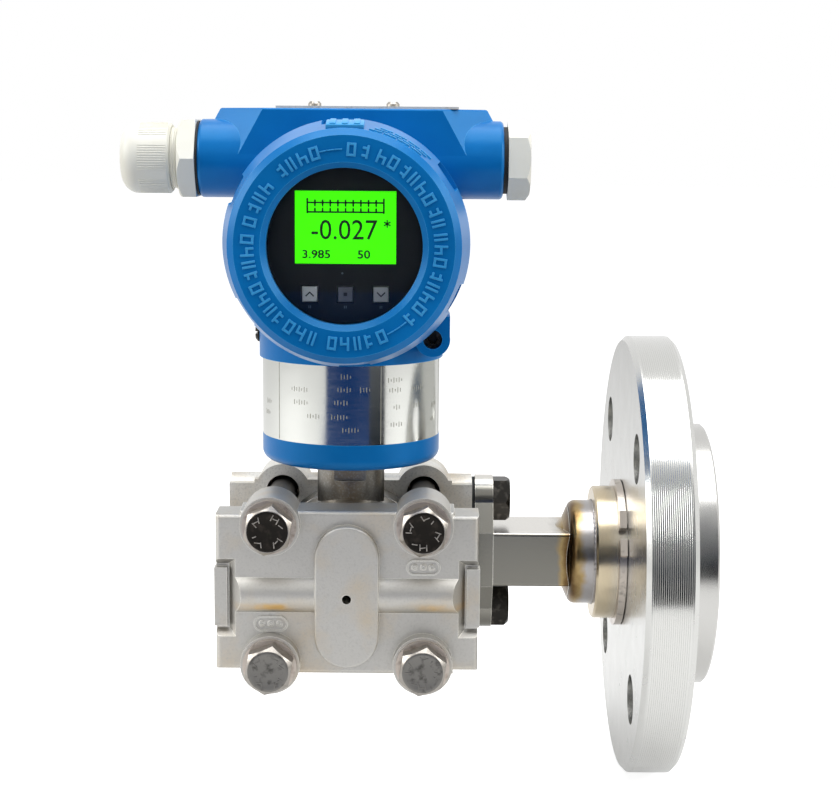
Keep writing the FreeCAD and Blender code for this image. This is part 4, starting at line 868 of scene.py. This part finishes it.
@dataclass
class FlangeRim:
    """Fine turned grooves round the loose flange's rim."""

    grooves: int = 19
    edge: float = 2.2 * MM
    proud: float = 0.10 * MM
    sunk: float = 0.25 * MM
    segments: int = 256

    def build(self) -> None:
        """Models the grooved sleeve and dresses it."""
        flange = span_of("backing_flange")
        radius = flange.size.z / 2
        length = flange.size.x - 2 * self.edge
        pitch = length / self.grooves
        profile = [(radius - self.sunk, 0.0)]
        for groove in range(self.grooves):
            start = groove * pitch
            profile += [(radius + 0.02 * MM, start + 0.04 * pitch),
                        (radius + self.proud, start + 0.18 * pitch),
                        (radius + self.proud, start + 0.82 * pitch),
                        (radius + 0.02 * MM, start + 0.96 * pitch)]
        profile.append((radius - self.sunk, length))
        rim = lathe("flange_rim_grooves", profile, self.segments)
        move_mesh(rim, at_place(Turn.RIGHT, Vector((flange.low.x + self.edge, 0, 0))))
        dress(rim, GROOVED, "loose_flange", 20.0)


@dataclass
class WeldBead:
    """Bead of the seam between collar and hub."""

    bead: float = 0.7 * MM
    waves: int = 60
    wave: float = 0.18 * MM

    def build(self) -> None:
        """Models the bead as a wavy ring."""
        collar = span_of("weld_collar")
        radius = collar.size.z / 2 - 0.4 * MM
        ring = lathe("hub_weld_bead", [
            (radius, -self.bead), (radius + self.bead * 0.8, -self.bead * 0.5),
            (radius + self.bead, 0.0), (radius + self.bead * 0.8, self.bead * 0.5),
            (radius, self.bead)], 180)
        for point in ring.data.vertices:
            angle = math.atan2(point.co.y, point.co.x)
            lift = 1 + self.wave / radius * math.sin(self.waves * angle)
            point.co.x *= lift
            point.co.y *= lift
        move_mesh(ring, at_place(Turn.RIGHT, Vector((collar.high.x, 0, 0))))
        dress(ring, WELD, "measuring_unit", 60.0)


@dataclass
class BoltHeads:
    """Stamped faces of the four long bolts, with plain raised strokes."""

    washer: float = 18.6 * MM
    face: float = 7.0 * MM
    rise: float = 0.20 * MM
    # one stroke each: angle from the top, share of the radius, length in mm, lean
    strokes: tuple = ((-62, 0.70, 2.2, 20), (-48, 0.72, 2.0, -70), (-36, 0.70, 2.2, 25),
                      (18, 0.74, 2.3, 10), (32, 0.72, 1.8, 80), (44, 0.72, 2.3, -15),
                      (68, 0.70, 2.0, 60), (122, 0.72, 2.2, 0), (138, 0.66, 1.6, 85),
                      (154, 0.72, 2.2, 20), (205, 0.72, 2.0, -30), (221, 0.72, 2.2, 55),
                      (248, 0.68, 1.5, 0))

    def build(self) -> None:
        """Models the four faces and their strokes."""
        washers = span_of("process_washers")
        reach = self.washer / 2
        for level, node, finish, mark in (
                ("upper", "upper_process_bolts", BLACK_FACE, ZINC),
                ("lower", "lower_process_bolts", GREY_FACE, GREY_FACE)):
            front = span_of(node).low.y
            z = washers.high.z - reach if level == "upper" else washers.low.z + reach
            for side in ("left", "right"):
                x = washers.low.x + reach if side == "left" else washers.high.x - reach
                self._face(f"{level}_{side}", Vector((x, front, z)), finish, mark,
                           0.0 if side == "left" else 150.0)

    def _face(self, name: str, spot: Vector, finish: Finish, mark: Finish, spin: float) -> None:
        """Models one stamped face.

        Args:
            name: which bolt.
            spot: centre of the head's face.
            finish: surface of the face.
            mark: surface of the strokes.
            spin: turn of the ring of strokes, in degrees.
        """
        disc = lathe(f"{name}_head_face", [
            (self.face, -0.1 * MM), (self.face, self.rise * 0.6), (self.face - 0.25 * MM, self.rise),
            (self.face - 0.9 * MM, self.rise), (self.face - 1.5 * MM, self.rise * 0.45),
            (self.face * 0.32, self.rise * 0.3), (0.0, self.rise * 0.25)], 48)
        move_mesh(disc, at_place(Turn.OUT, spot))
        dress(disc, finish, "measuring_unit")
        strokes = []
        for angle, share, long, lean in self.strokes:
            piece = bar("stroke", (0.36 * MM, 0.24 * MM, long * MM), edge=0.08 * MM)
            own = Matrix.Rotation(math.radians(lean), 4, "Y")
            out = Matrix.Translation((0, 0, self.face * share))
            move_mesh(piece, Matrix.Rotation(math.radians(angle + spin), 4, "Y") @ out @ own)
            move_mesh(piece, Matrix.Translation(spot + Vector((0, -self.rise * 0.6, 0))))
            strokes.append(piece)
        dress(joined(f"{name}_head_strokes", strokes), mark, "measuring_unit")


@dataclass
class CoverMarks:
    """Plain raised marks in a ring on the display cover, and ribs in its top notch."""

    ring: float = 31.2 * MM
    tall: float = 4.4 * MM
    wide: float = 3.0 * MM
    line: float = 0.80 * MM
    rise: float = 0.8 * MM
    # groups of marks: middle angle from the top, clockwise as seen, and how many
    groups: tuple = ((8.0, 2), (49.0, 8), (110.0, 8), (172.0, 5), (222.0, 7), (263.0, 4),
                     (296.0, 4), (331.0, 4))
    dashes: tuple = (-8.0, 146.5)
    taper: float = 11.2
    # depth behind the face at which the tapered shoulder reaches the full radius
    shoulder_end: float = 17.9 * MM
    # level lines are this share of the mark's width and height, so that no faces coincide
    shorter: float = 0.97
    lower: float = 0.92
    tucked: float = 0.05 * MM

    def build(self) -> None:
        """Models the marks and the ribs and sets them on the cover."""
        cover = span_of("front_cover")
        centre = Vector((cover.centre.x, cover.low.y, cover.centre.z))
        stock = [self._frame(), self._fork(), self._bars(), self._step()]
        step = math.degrees((self.wide + 1.1 * MM) / self.ring)
        placed = []
        for start, count in self.groups:
            for spot in range(count):
                angle = start + (spot - (count - 1) / 2) * step
                kind = (int(start) + spot * 3) % len(stock)
                placed.append(copy_of(stock[kind], self._on_ring(centre, angle)))
        dash = bar("dash", (2.4 * MM, self.rise, 0.4 * MM), edge=0.1 * MM)
        for angle in self.dashes:
            for shift in (-4.6, 0.0, 4.6):
                placed.append(copy_of(dash, self._on_ring(centre, angle + shift)))
        for piece in [*stock, dash]:
            bpy.data.objects.remove(piece)
        # The marks take the coat painted lighter: a painted highlight.
        dress(joined("cover_ring_marks", placed), HIGHLIT_MARK_COAT, "front_cover")
        self._lugs(cover, centre)

    def _lugs(self, cover: Span, centre: Vector) -> None:
        """Models the grip lug in the top notch and the stepped ridges beside it.

        Args:
            cover: box of the cover.
            centre: middle of the cover's face.
        """
        radius = cover.size.x / 2
        deep = 7.0 * MM
        placed = [self._on_shoulder(bar("lug", (12.4 * MM, 8.4 * MM, 2.0 * MM), edge=0.5 * MM),
                                    centre, 0.0, deep, radius)]
        for shift in (-3.9, 0.0, 3.9):
            rib = bar("rib", (2.0 * MM, 7.4 * MM, 0.8 * MM), (shift * MM, 0, 1.0 * MM), 0.25 * MM)
            placed.append(self._on_shoulder(rib, centre, 0.0, deep, radius))
        for row, deep in enumerate((3.6 * MM, 6.4 * MM, 9.2 * MM)):
            for spot in range(4):
                ridge = bar("ridge", (4.4 * MM, 0.8 * MM, 0.9 * MM), edge=0.2 * MM)
                placed.append(self._on_shoulder(ridge, centre, 15.0 + 7.2 * spot + 2.4 * row,
                                                deep, radius))
        # The lug, ribs and ridges take the coat painted lighter: a painted highlight.
        dress(joined("cover_grip_lugs", placed), HIGHLIT_MARK_COAT, "front_cover")

    def _on_shoulder(self, piece: bpy.types.Object, centre: Vector, degrees: float, deep: float,
                     radius: float) -> bpy.types.Object:
        """Sets a piece on the cover's tapered shoulder.

        Args:
            piece: the piece, round the origin, its outer side up.
            centre: middle of the cover's face.
            degrees: angle clockwise from the top.
            deep: how far behind the face.
            radius: the cover's outer radius.
        Returns:
            The piece, in place.
        """
        level = self._shoulder(deep, radius)
        return move_mesh(piece, Matrix.Translation((0, deep, 0))
                         @ self._on_ring(centre, degrees, level)
                         @ Matrix.Rotation(math.radians(self.taper), 4, "X"))

    def _shoulder(self, deep: float, radius: float) -> float:
        """Radius of the cover's tapered shoulder at a depth behind its face."""
        return radius - (self.shoulder_end - deep) * math.tan(math.radians(self.taper))

    def _on_ring(self, centre: Vector, degrees: float, radius: float | None = None) -> Matrix:
        """Place at an angle clockwise from the top, on the ring of marks or at a radius."""
        return (Matrix.Translation(centre) @ Matrix.Rotation(math.radians(degrees), 4, "Y")
                @ Matrix.Translation((0, 0, radius or self.ring)))

    def _upright(self, x: float, tall: float = 1.0, z: float = 0.0) -> bpy.types.Object:
        """One upright line of a mark."""
        return bar("line", (self.line, self.rise, self.tall * tall), (x, 0, z), 0.12 * MM)

    def _level(self, z: float, wide: float = 1.0, x: float = 0.0) -> bpy.types.Object:
        """One level line of a mark."""
        return bar("line", (self.wide * wide * self.shorter, self.rise * self.lower, self.line),
                   (x, 0, z), 0.12 * MM)

    def _frame(self) -> bpy.types.Object:
        """A narrow frame."""
        side = (self.wide - self.line) / 2
        top = (self.tall - self.line) / 2 - self.tucked
        return joined("mark_frame", [self._upright(-side), self._upright(side),
                                     self._level(top), self._level(-top)])

    def _fork(self) -> bpy.types.Object:
        """Two uprights with a level between their feet and middles."""
        side = (self.wide - self.line) / 2
        return joined("mark_fork", [self._upright(-side), self._upright(side, 0.6, -0.2 * self.tall),
                                    self._level(0.0)])

    def _bars(self) -> bpy.types.Object:
        """Two plain uprights."""
        return joined("mark_bars", [self._upright(-self.wide / 4), self._upright(self.wide / 4)])

    def _step(self) -> bpy.types.Object:
        """An upright with two levels that stop short."""
        side = (self.wide - self.line) / 2
        return joined("mark_step", [self._upright(side), self._level(0.25 * self.tall, 0.7, 0.4 * MM),
                                    self._level(-0.3 * self.tall, 0.7, 0.4 * MM)])


@dataclass
class Display:
    """Figures and scale on the lit panel, and the print on the bezel and keys."""

    thick: float = 0.12 * MM
    line: float = 0.56 * MM
    ticks: int = 10

    def build(self) -> None:
        """Models the figures, the scale, the key signs and the small prints."""
        panel = span_of("lcd_panel")
        self.face = panel.low.y
        self.middle = panel.centre
        self.wide, self.high = panel.size.x, panel.size.z
        self._figures()
        self._scale()
        self._keys()
        self._prints()

    def _spot(self, across: float, up: float) -> Vector:
        """Point on the panel's face from shares of its width and height."""
        return Vector((self.middle.x + across * self.wide, self.face - self.thick * 0.4,
                       self.middle.z + up * self.high))

    def _figures(self) -> None:
        """The reading and two small numbers under it, in plain figures without units."""
        for name, text, high, wide, across, up, heavy in (
                ("reading_figures", "-0.027", 0.275, 0.655, -0.010, -0.030, 0.004),
                ("second_figures", "3.985", 0.120, 0.277, -0.289, -0.370, 0.022),
                ("third_figures", "50", 0.120, 0.127, 0.183, -0.370, 0.022)):
            piece = numerals(name, text, high * self.high, wide * self.wide, self.thick, heavy)
            move_mesh(piece, Matrix.Translation(self._spot(across, up)))
            dress(piece, GLYPH, "housing")
        spokes = []
        for lean in (0.0, 60.0, 120.0):
            spoke = bar("spoke", (0.44 * MM, self.thick, 2.6 * MM))
            spokes.append(move_mesh(spoke, Matrix.Translation(self._spot(0.412, 0.055))
                                    @ Matrix.Rotation(math.radians(lean), 4, "Y")))
        dress(joined("reading_star", spokes), GLYPH, "housing")

    def _scale(self) -> None:
        """The bar scale above the reading: two lines, end posts and short ticks."""
        half, top, low = 0.378, 0.342, 0.212
        parts = []
        for up in (top, low):
            parts.append(bar("line", (2 * half * self.wide, self.thick, self.line),
                             tuple(self._spot(0.0, up))))
        for side in (-half, half):
            parts.append(bar("line", (self.line, self.thick, 0.212 * self.high),
                             tuple(self._spot(side, 0.298))))
        for tick in range(1, self.ticks):
            across = half * (2 * tick / self.ticks - 1)
            for high, low_end in ((0.384, 0.288), (0.268, 0.212)):
                tall = (high - low_end) * self.high
                parts.append(bar("line", (self.line, self.thick, tall),
                                 tuple(self._spot(across, (high + low_end) / 2))))
        dress(joined("reading_scale", parts), GLYPH, "housing")

    def _keys(self) -> None:
        """A plain sign on each key: chevron up, square dot, chevron down."""
        for side in ("left", "middle", "right"):
            key = span_of(f"key_{side}")
            spot = Vector((key.centre.x, key.low.y - 0.02 * MM, key.centre.z))
            parts = []
            for x, z, long, lean in self._sign(side):
                piece = bar("line", (0.42 * MM, 0.1 * MM, long * MM), edge=0.03 * MM)
                move_mesh(piece, Matrix.Translation(spot + Vector((x * MM, 0, z * MM)))
                          @ Matrix.Rotation(math.radians(lean), 4, "Y"))
                parts.append(piece)
            dress(joined(f"key_{side}_sign", parts), KEY_INK, f"{side}_key")

    @staticmethod
    def _sign(side: str) -> list[tuple[float, float, float, float]]:
        """Lines of a key's sign: place across and up, length and lean."""
        return {
            "left": [(-0.62, 0.0, 2.0, 45.0), (0.62, 0.0, 2.0, -45.0)],
            "middle": [(-0.36, 0.0, 1.1, 0.0), (0.0, 0.0, 1.1, 0.0), (0.36, 0.0, 1.1, 0.0)],
            "right": [(-0.62, 0.0, 2.0, -45.0), (0.62, 0.0, 2.0, 45.0)],
        }[side]

    def _prints(self) -> None:
        """Two short bars under each key and a dot between the panel and the keys."""
        bezel = span_of("display_bezel")
        face = bezel.low.y - 0.03 * MM
        parts = []
        for side in ("left", "middle", "right"):
            key = span_of(f"key_{side}")
            for shift in (-0.28, 0.28):
                parts.append(bar("dot", (0.3 * MM, 0.08 * MM, 0.9 * MM),
                                 (key.centre.x + shift * MM, face, key.low.z - 1.7 * MM)))
        dot = lathe("dot", [(0.34 * MM, 0.0), (0.34 * MM, 0.06 * MM), (0.0, 0.08 * MM)], 16)
        middle = span_of("key_middle")
        move_mesh(dot, at_place(Turn.OUT, Vector((middle.centre.x - 1.0 * MM, face,
                                                  middle.high.z + 4.4 * MM))))
        parts.append(dot)
        dress(joined("bezel_prints", parts), PRINT, "housing")


@dataclass
class BandDetails:
    """Seams and plain etched ticks on the polished band."""

    seams: tuple = (-50.0, 21.0, 80.0)
    seam: float = 0.28 * MM
    # blocks of ticks: angle from the front, height in mm, how many
    blocks: tuple = ((-4.0, 10.0, 4), (-6.0, 5.5, 5), (8.0, 5.5, 4), (-8.0, 1.0, 5),
                     (-10.0, -4.0, 6), (-3.0, -8.5, 6), (-38.0, 5.0, 7), (-36.0, 0.5, 6),
                     (-26.0, -4.0, 5), (-66.0, -1.0, 4), (-68.0, -5.0, 4), (26.0, 8.5, 6),
                     (27.0, 5.0, 5), (30.0, -1.0, 3), (44.0, 5.0, 6), (46.0, -1.0, 4),
                     (28.0, -7.0, 5), (66.0, -2.0, 4), (64.0, -7.0, 3))

    def build(self) -> None:
        """Models the seams as thin overlaps and the ticks as etched lines."""
        band = span_of("label_band")
        centre, radius = band.centre, band.size.x / 2
        parts = []
        for degrees in self.seams:
            piece = bar("seam", (self.seam, 0.10 * MM, band.size.z - 0.6 * MM), edge=0.03 * MM)
            parts.append(move_mesh(piece, self._round(centre, radius, degrees, 0.0)))
        dress(joined("band_seams", parts), ETCH, "housing")
        ticks = []
        for start, up, count in self.blocks:
            for spot in range(count):
                tall = (1.9, 1.3, 1.7, 0.9)[(spot + count) % 4]
                piece = bar("tick", (0.30 * MM, 0.05 * MM, tall * MM))
                ticks.append(move_mesh(piece, self._round(centre, radius, start + spot * 1.9,
                                                          up * MM)))
        dress(joined("band_ticks", ticks), ETCH, "housing")

    @staticmethod
    def _round(centre: Vector, radius: float, degrees: float, up: float) -> Matrix:
        """Place on the band at an angle from the front, positive to the right."""
        return (Matrix.Translation(centre + Vector((0, 0, up)))
                @ Matrix.Rotation(math.radians(degrees), 4, "Z")
                @ Matrix.Translation((0, -radius - 0.01 * MM, 0)))


@dataclass
class GlandDetails:
    """Grip ribs of the domed nut and the thread that shows behind it."""

    panels: int = 6
    ribs: int = 11
    rise: float = 0.14 * MM
    neck: float = 21.0 * MM / 2
    gap: float = 2.8 * MM
    pitch: float = 1.5 * MM

    def build(self) -> None:
        """Models the ribs and the thread."""
        nut = span_of("gland_nut")
        radius = nut.size.z / 2
        long = nut.size.x * 0.56
        start = nut.high.x - 1.0 * MM - long / 2
        rib = bar("rib", (long, 0.42 * MM, 2 * self.rise), edge=0.1 * MM)
        placed = []
        for panel in range(self.panels):
            for number in range(self.ribs):
                degrees = panel * 360 / self.panels + number * 360 / self.panels / (self.ribs + 4)
                turn = (Matrix.Translation((start, nut.centre.y, nut.centre.z))
                        @ Matrix.Rotation(math.radians(degrees + 8), 4, "X")
                        @ Matrix.Translation((0, 0, radius)))
                placed.append(copy_of(rib, turn))
        bpy.data.objects.remove(rib)
        dress(joined("gland_grip_ribs", placed), IVORY, "gland_nut")
        self._thread(nut)

    def _thread(self, nut: Span) -> None:
        """Models the thread's crests between hexagon and nut."""
        crest = self.neck + 0.34 * MM
        profile = [(self.neck - 0.1 * MM, 0.0)]
        for turn in range(6):
            level = turn * self.pitch
            profile += [(self.neck, level + 0.3 * self.pitch), (crest, level + 0.5 * self.pitch),
                        (crest, level + 0.7 * self.pitch), (self.neck, level + 0.95 * self.pitch)]
        profile.append((self.neck - 0.1 * MM, 6.2 * self.pitch))
        thread = lathe("gland_thread", profile, 72)
        start = Vector((nut.high.x + self.gap - 0.1 * MM, nut.centre.y, nut.centre.z))
        move_mesh(thread, at_place(Turn.LEFT, start))
        dress(thread, IVORY, "housing")


@dataclass
class BadgeDots:
    """Three plain raised dots inside each oval of the front casting."""

    spacing: float = 3.0 * MM
    # how far the slab's face lies behind the casting's foremost point
    slab: float = 5.0 * MM
    ovals: tuple = ((26.4, 9.4), (-26.4, -11.0))

    def build(self) -> None:
        """Models the dots in both ovals."""
        casting = span_of("front_process_flange")
        middle = casting.centre.x
        face = casting.low.y + self.slab
        dots = []
        for x, z in self.ovals:
            for shift in (-1, 0, 1):
                dot = lathe("dot", [(1.25 * MM, -0.1 * MM), (1.25 * MM, 0.25 * MM),
                                    (1.05 * MM, 0.40 * MM), (0.55 * MM, 0.40 * MM),
                                    (0.45 * MM, 0.15 * MM), (0.0, 0.15 * MM)], 24)
                spot = Vector((middle + x * MM + shift * self.spacing, face, z * MM))
                dots.append(move_mesh(dot, at_place(Turn.OUT, spot)))
        dress(joined("badge_dots", dots), FRONT_CASTING, "measuring_unit")


# ---------------------------------------------------------------- studio

@dataclass
class Studio:
    """Pale floor, soft light, dark cards for the metal to reflect, and the camera."""

    camera_at: tuple = (-0.1074, -0.6648, 0.1595)
    tilt: float = 81.32
    roll: float = 0.0082
    lens: float = 76.43
    # the floor's own grey, and how bright the camera and polished metal see it
    floor_grey: float = 0.60
    floor_seen: float = 0.80
    floor_mirrored: float = 0.36
    # how strongly the world lights the object; the camera and the metal see it white
    world_fill: float = 0.48
    # the card that fades from black to white in front of the flange's rim
    faded: str = "rim_card"

    def build(self) -> None:
        """Sets up everything that is not part of the object."""
        self._camera()
        self._floor()
        self._cards()
        self._world()
        self._lamps()
        bpy.context.scene.view_settings.view_transform = "Standard"

    def _camera(self) -> None:
        """Adds the camera."""
        lens = bpy.data.cameras.new("studio_camera")
        lens.sensor_width = 36.0
        lens.lens = self.lens
        lens.clip_start = 0.01
        eye = bpy.data.objects.new("studio_camera", lens)
        bpy.context.scene.collection.objects.link(eye)
        eye.matrix_world = (Matrix.Translation(Vector(self.camera_at))
                            @ Matrix.Rotation(math.radians(self.tilt), 4, "X")
                            @ Matrix.Rotation(self.roll, 4, "Z"))
        bpy.context.scene.camera = eye

    def _floor(self) -> None:
        """Adds the floor under the flange's lowest edge."""
        low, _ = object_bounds()
        clear_selection()
        bpy.ops.mesh.primitive_plane_add(size=14.0, location=(0, 0, low.z - 0.4 * MM))
        floor = bpy.context.object
        floor.name = "studio_floor"
        bpy.ops.object.transform_apply(location=True, rotation=True, scale=True)
        paper = bpy.data.materials.new("White studio paper")
        paper.use_nodes = True
        tree = paper.node_tree
        tree.nodes.clear()
        rays = add_node(tree, "ShaderNodeLightPath")
        mirrored = add_node(tree, "ShaderNodeMath", {"operation": "MAXIMUM"},
                            {0: rays.outputs["Is Glossy Ray"], 1: rays.outputs["Is Transmission Ray"]})
        soft = add_node(tree, "ShaderNodeMath", {"operation": "MULTIPLY", 1: self.floor_mirrored},
                        {0: mirrored.outputs["Value"]})
        level = add_node(tree, "ShaderNodeMath", {"operation": "MULTIPLY_ADD", 1: self.floor_seen},
                         {0: rays.outputs["Is Camera Ray"], 2: soft.outputs["Value"]})
        grey = self.floor_grey
        matt = add_node(tree, "ShaderNodeBsdfDiffuse", {"Color": (grey, grey, grey, 1)})
        glow = add_node(tree, "ShaderNodeEmission", links={"Strength": level.outputs["Value"]})
        both = add_node(tree, "ShaderNodeAddShader", links={0: matt.outputs[0], 1: glow.outputs[0]})
        add_node(tree, "ShaderNodeOutputMaterial", links={"Surface": both.outputs[0]})
        floor.data.materials.append(paper)
        floor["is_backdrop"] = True

    def _cards(self) -> None:
        """Adds the dark cards that give polished steel its dark reflections."""
        low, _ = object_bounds()
        ground = low.z + 0.5 * MM
        for name, middle, size, stand, tone in (
                ("low_card", (-0.135, -0.76, -0.024), (0.82, 0.138), 90.0, "#103A74"),
                ("high_card", (-0.157, -0.76, 0.195), (0.32, 0.30), 90.0, "#2A2F38"),
                ("far_floor_card", (-0.135, -0.63, ground), (0.82, 0.26), 0.0, "#14407A"),
                ("right_floor_card", (0.20, -0.41, ground), (0.24, 0.18), 0.0, "#2C3036"),
                (self.faded, (0.022, -0.25, 0.154), (0.116, 0.392), 90.0, "#04080F")):
            clear_selection()
            bpy.ops.mesh.primitive_plane_add(size=1.0, location=middle,
                                             rotation=(math.radians(stand), 0, 0))
            card = bpy.context.object
            card.name = name
            card.scale = (*size, 1.0)
            bpy.ops.object.transform_apply(location=True, rotation=True, scale=True)
            felt = bpy.data.materials.new(f"Felt of {name}")
            felt.use_nodes = True
            tree = felt.node_tree
            tree.nodes.clear()
            matt = add_node(tree, "ShaderNodeBsdfDiffuse", {"Color": linear(tone)})
            add_node(tree, "ShaderNodeOutputMaterial", links={"Surface": matt.outputs[0]})
            card.data.materials.append(felt)
            card.visible_camera = False
            card.visible_shadow = False
            if name == self.faded:
                card.visible_diffuse = False
                self._fade(tree, matt)
            card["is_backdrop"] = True

    def _fade(self, tree: bpy.types.NodeTree, matt: bpy.types.Node) -> None:
        """Lets a standing card fade from black near the floor to white at its top.

        Args:
            tree: node tree of the card's felt.
            matt: its diffuse shader.
        """
        place = add_node(tree, "ShaderNodeTexCoord")
        parts = add_node(tree, "ShaderNodeSeparateXYZ", links={"Vector": place.outputs["Object"]})
        level = add_node(tree, "ShaderNodeMapRange", {"From Min": -0.04, "From Max": 0.34},
                         {"Value": parts.outputs["Z"]})
        ramp = add_node(tree, "ShaderNodeValToRGB", links={"Fac": level.outputs["Result"]})
        stops = ramp.color_ramp.elements
        stops[0].position, stops[0].color = 0.10, linear("#04080F")
        stops[1].position, stops[1].color = 1.0, linear("#FFFFFF")
        for position, tone in ((0.16, "#3A4048"), (0.30, "#7C7E82"), (0.62, "#C4C5C6")):
            stops.new(position).color = linear(tone)
        tree.links.new(ramp.outputs["Color"], matt.inputs["Color"])

    def _world(self) -> None:
        """Lights the room evenly and shows white behind the object."""
        world = bpy.data.worlds.new("studio_world")
        bpy.context.scene.world = world
        world.use_nodes = True
        tree = world.node_tree
        tree.nodes.clear()
        rays = add_node(tree, "ShaderNodeLightPath")
        seen = add_node(tree, "ShaderNodeMath", {"operation": "MAXIMUM"},
                        {0: rays.outputs["Is Camera Ray"], 1: rays.outputs["Is Glossy Ray"]})
        either = add_node(tree, "ShaderNodeMath", {"operation": "MAXIMUM"},
                          {0: seen.outputs["Value"], 1: rays.outputs["Is Transmission Ray"]})
        level = add_node(tree, "ShaderNodeMapRange", {"To Min": self.world_fill, "To Max": 1.0},
                         {"Value": either.outputs["Value"]})
        back = add_node(tree, "ShaderNodeBackground", {"Color": (1, 1, 1, 1)},
                        {"Strength": level.outputs["Result"]})
        add_node(tree, "ShaderNodeOutputWorld", links={"Surface": back.outputs[0]})

    def _lamps(self) -> None:
        """Adds a large soft lamp overhead and a weaker one at each side."""
        for name, spot, aim, size, power in (
                ("top_lamp", (-0.1, -0.10, 1.0), (-0.1, 0.0, 0.08), 0.9, 9.5),
                ("left_lamp", (-1.1, -0.25, 0.50), (-0.1, 0.0, 0.05), 0.6, 6.0),
                ("right_lamp", (0.9, -0.30, 0.55), (-0.1, 0.0, 0.10), 0.6, 6.0)):
            lamp = bpy.data.lights.new(name, "AREA")
            lamp.size = size
            lamp.energy = power
            holder = bpy.data.objects.new(name, lamp)
            bpy.context.scene.collection.objects.link(holder)
            way = Vector(aim) - Vector(spot)
            holder.matrix_world = Matrix.Translation(Vector(spot)) @ way.to_track_quat(
                "-Z", "Y").to_matrix().to_4x4()


def main() -> None:
    """Builds the sub-assemblies in order and reports each piece."""
    logging.basicConfig(level=logging.INFO, format="%(message)s")
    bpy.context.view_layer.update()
    dress_nodes()
    for part in (FlangeRim(), WeldBead(), BoltHeads(), BadgeDots(), CoverMarks(), Display(),
                 BandDetails(), GlandDetails(), Studio()):
        LOG.info("building %s", type(part).__name__)
        part.build()
    clear_selection()


if __name__ == "__main__":
    main()
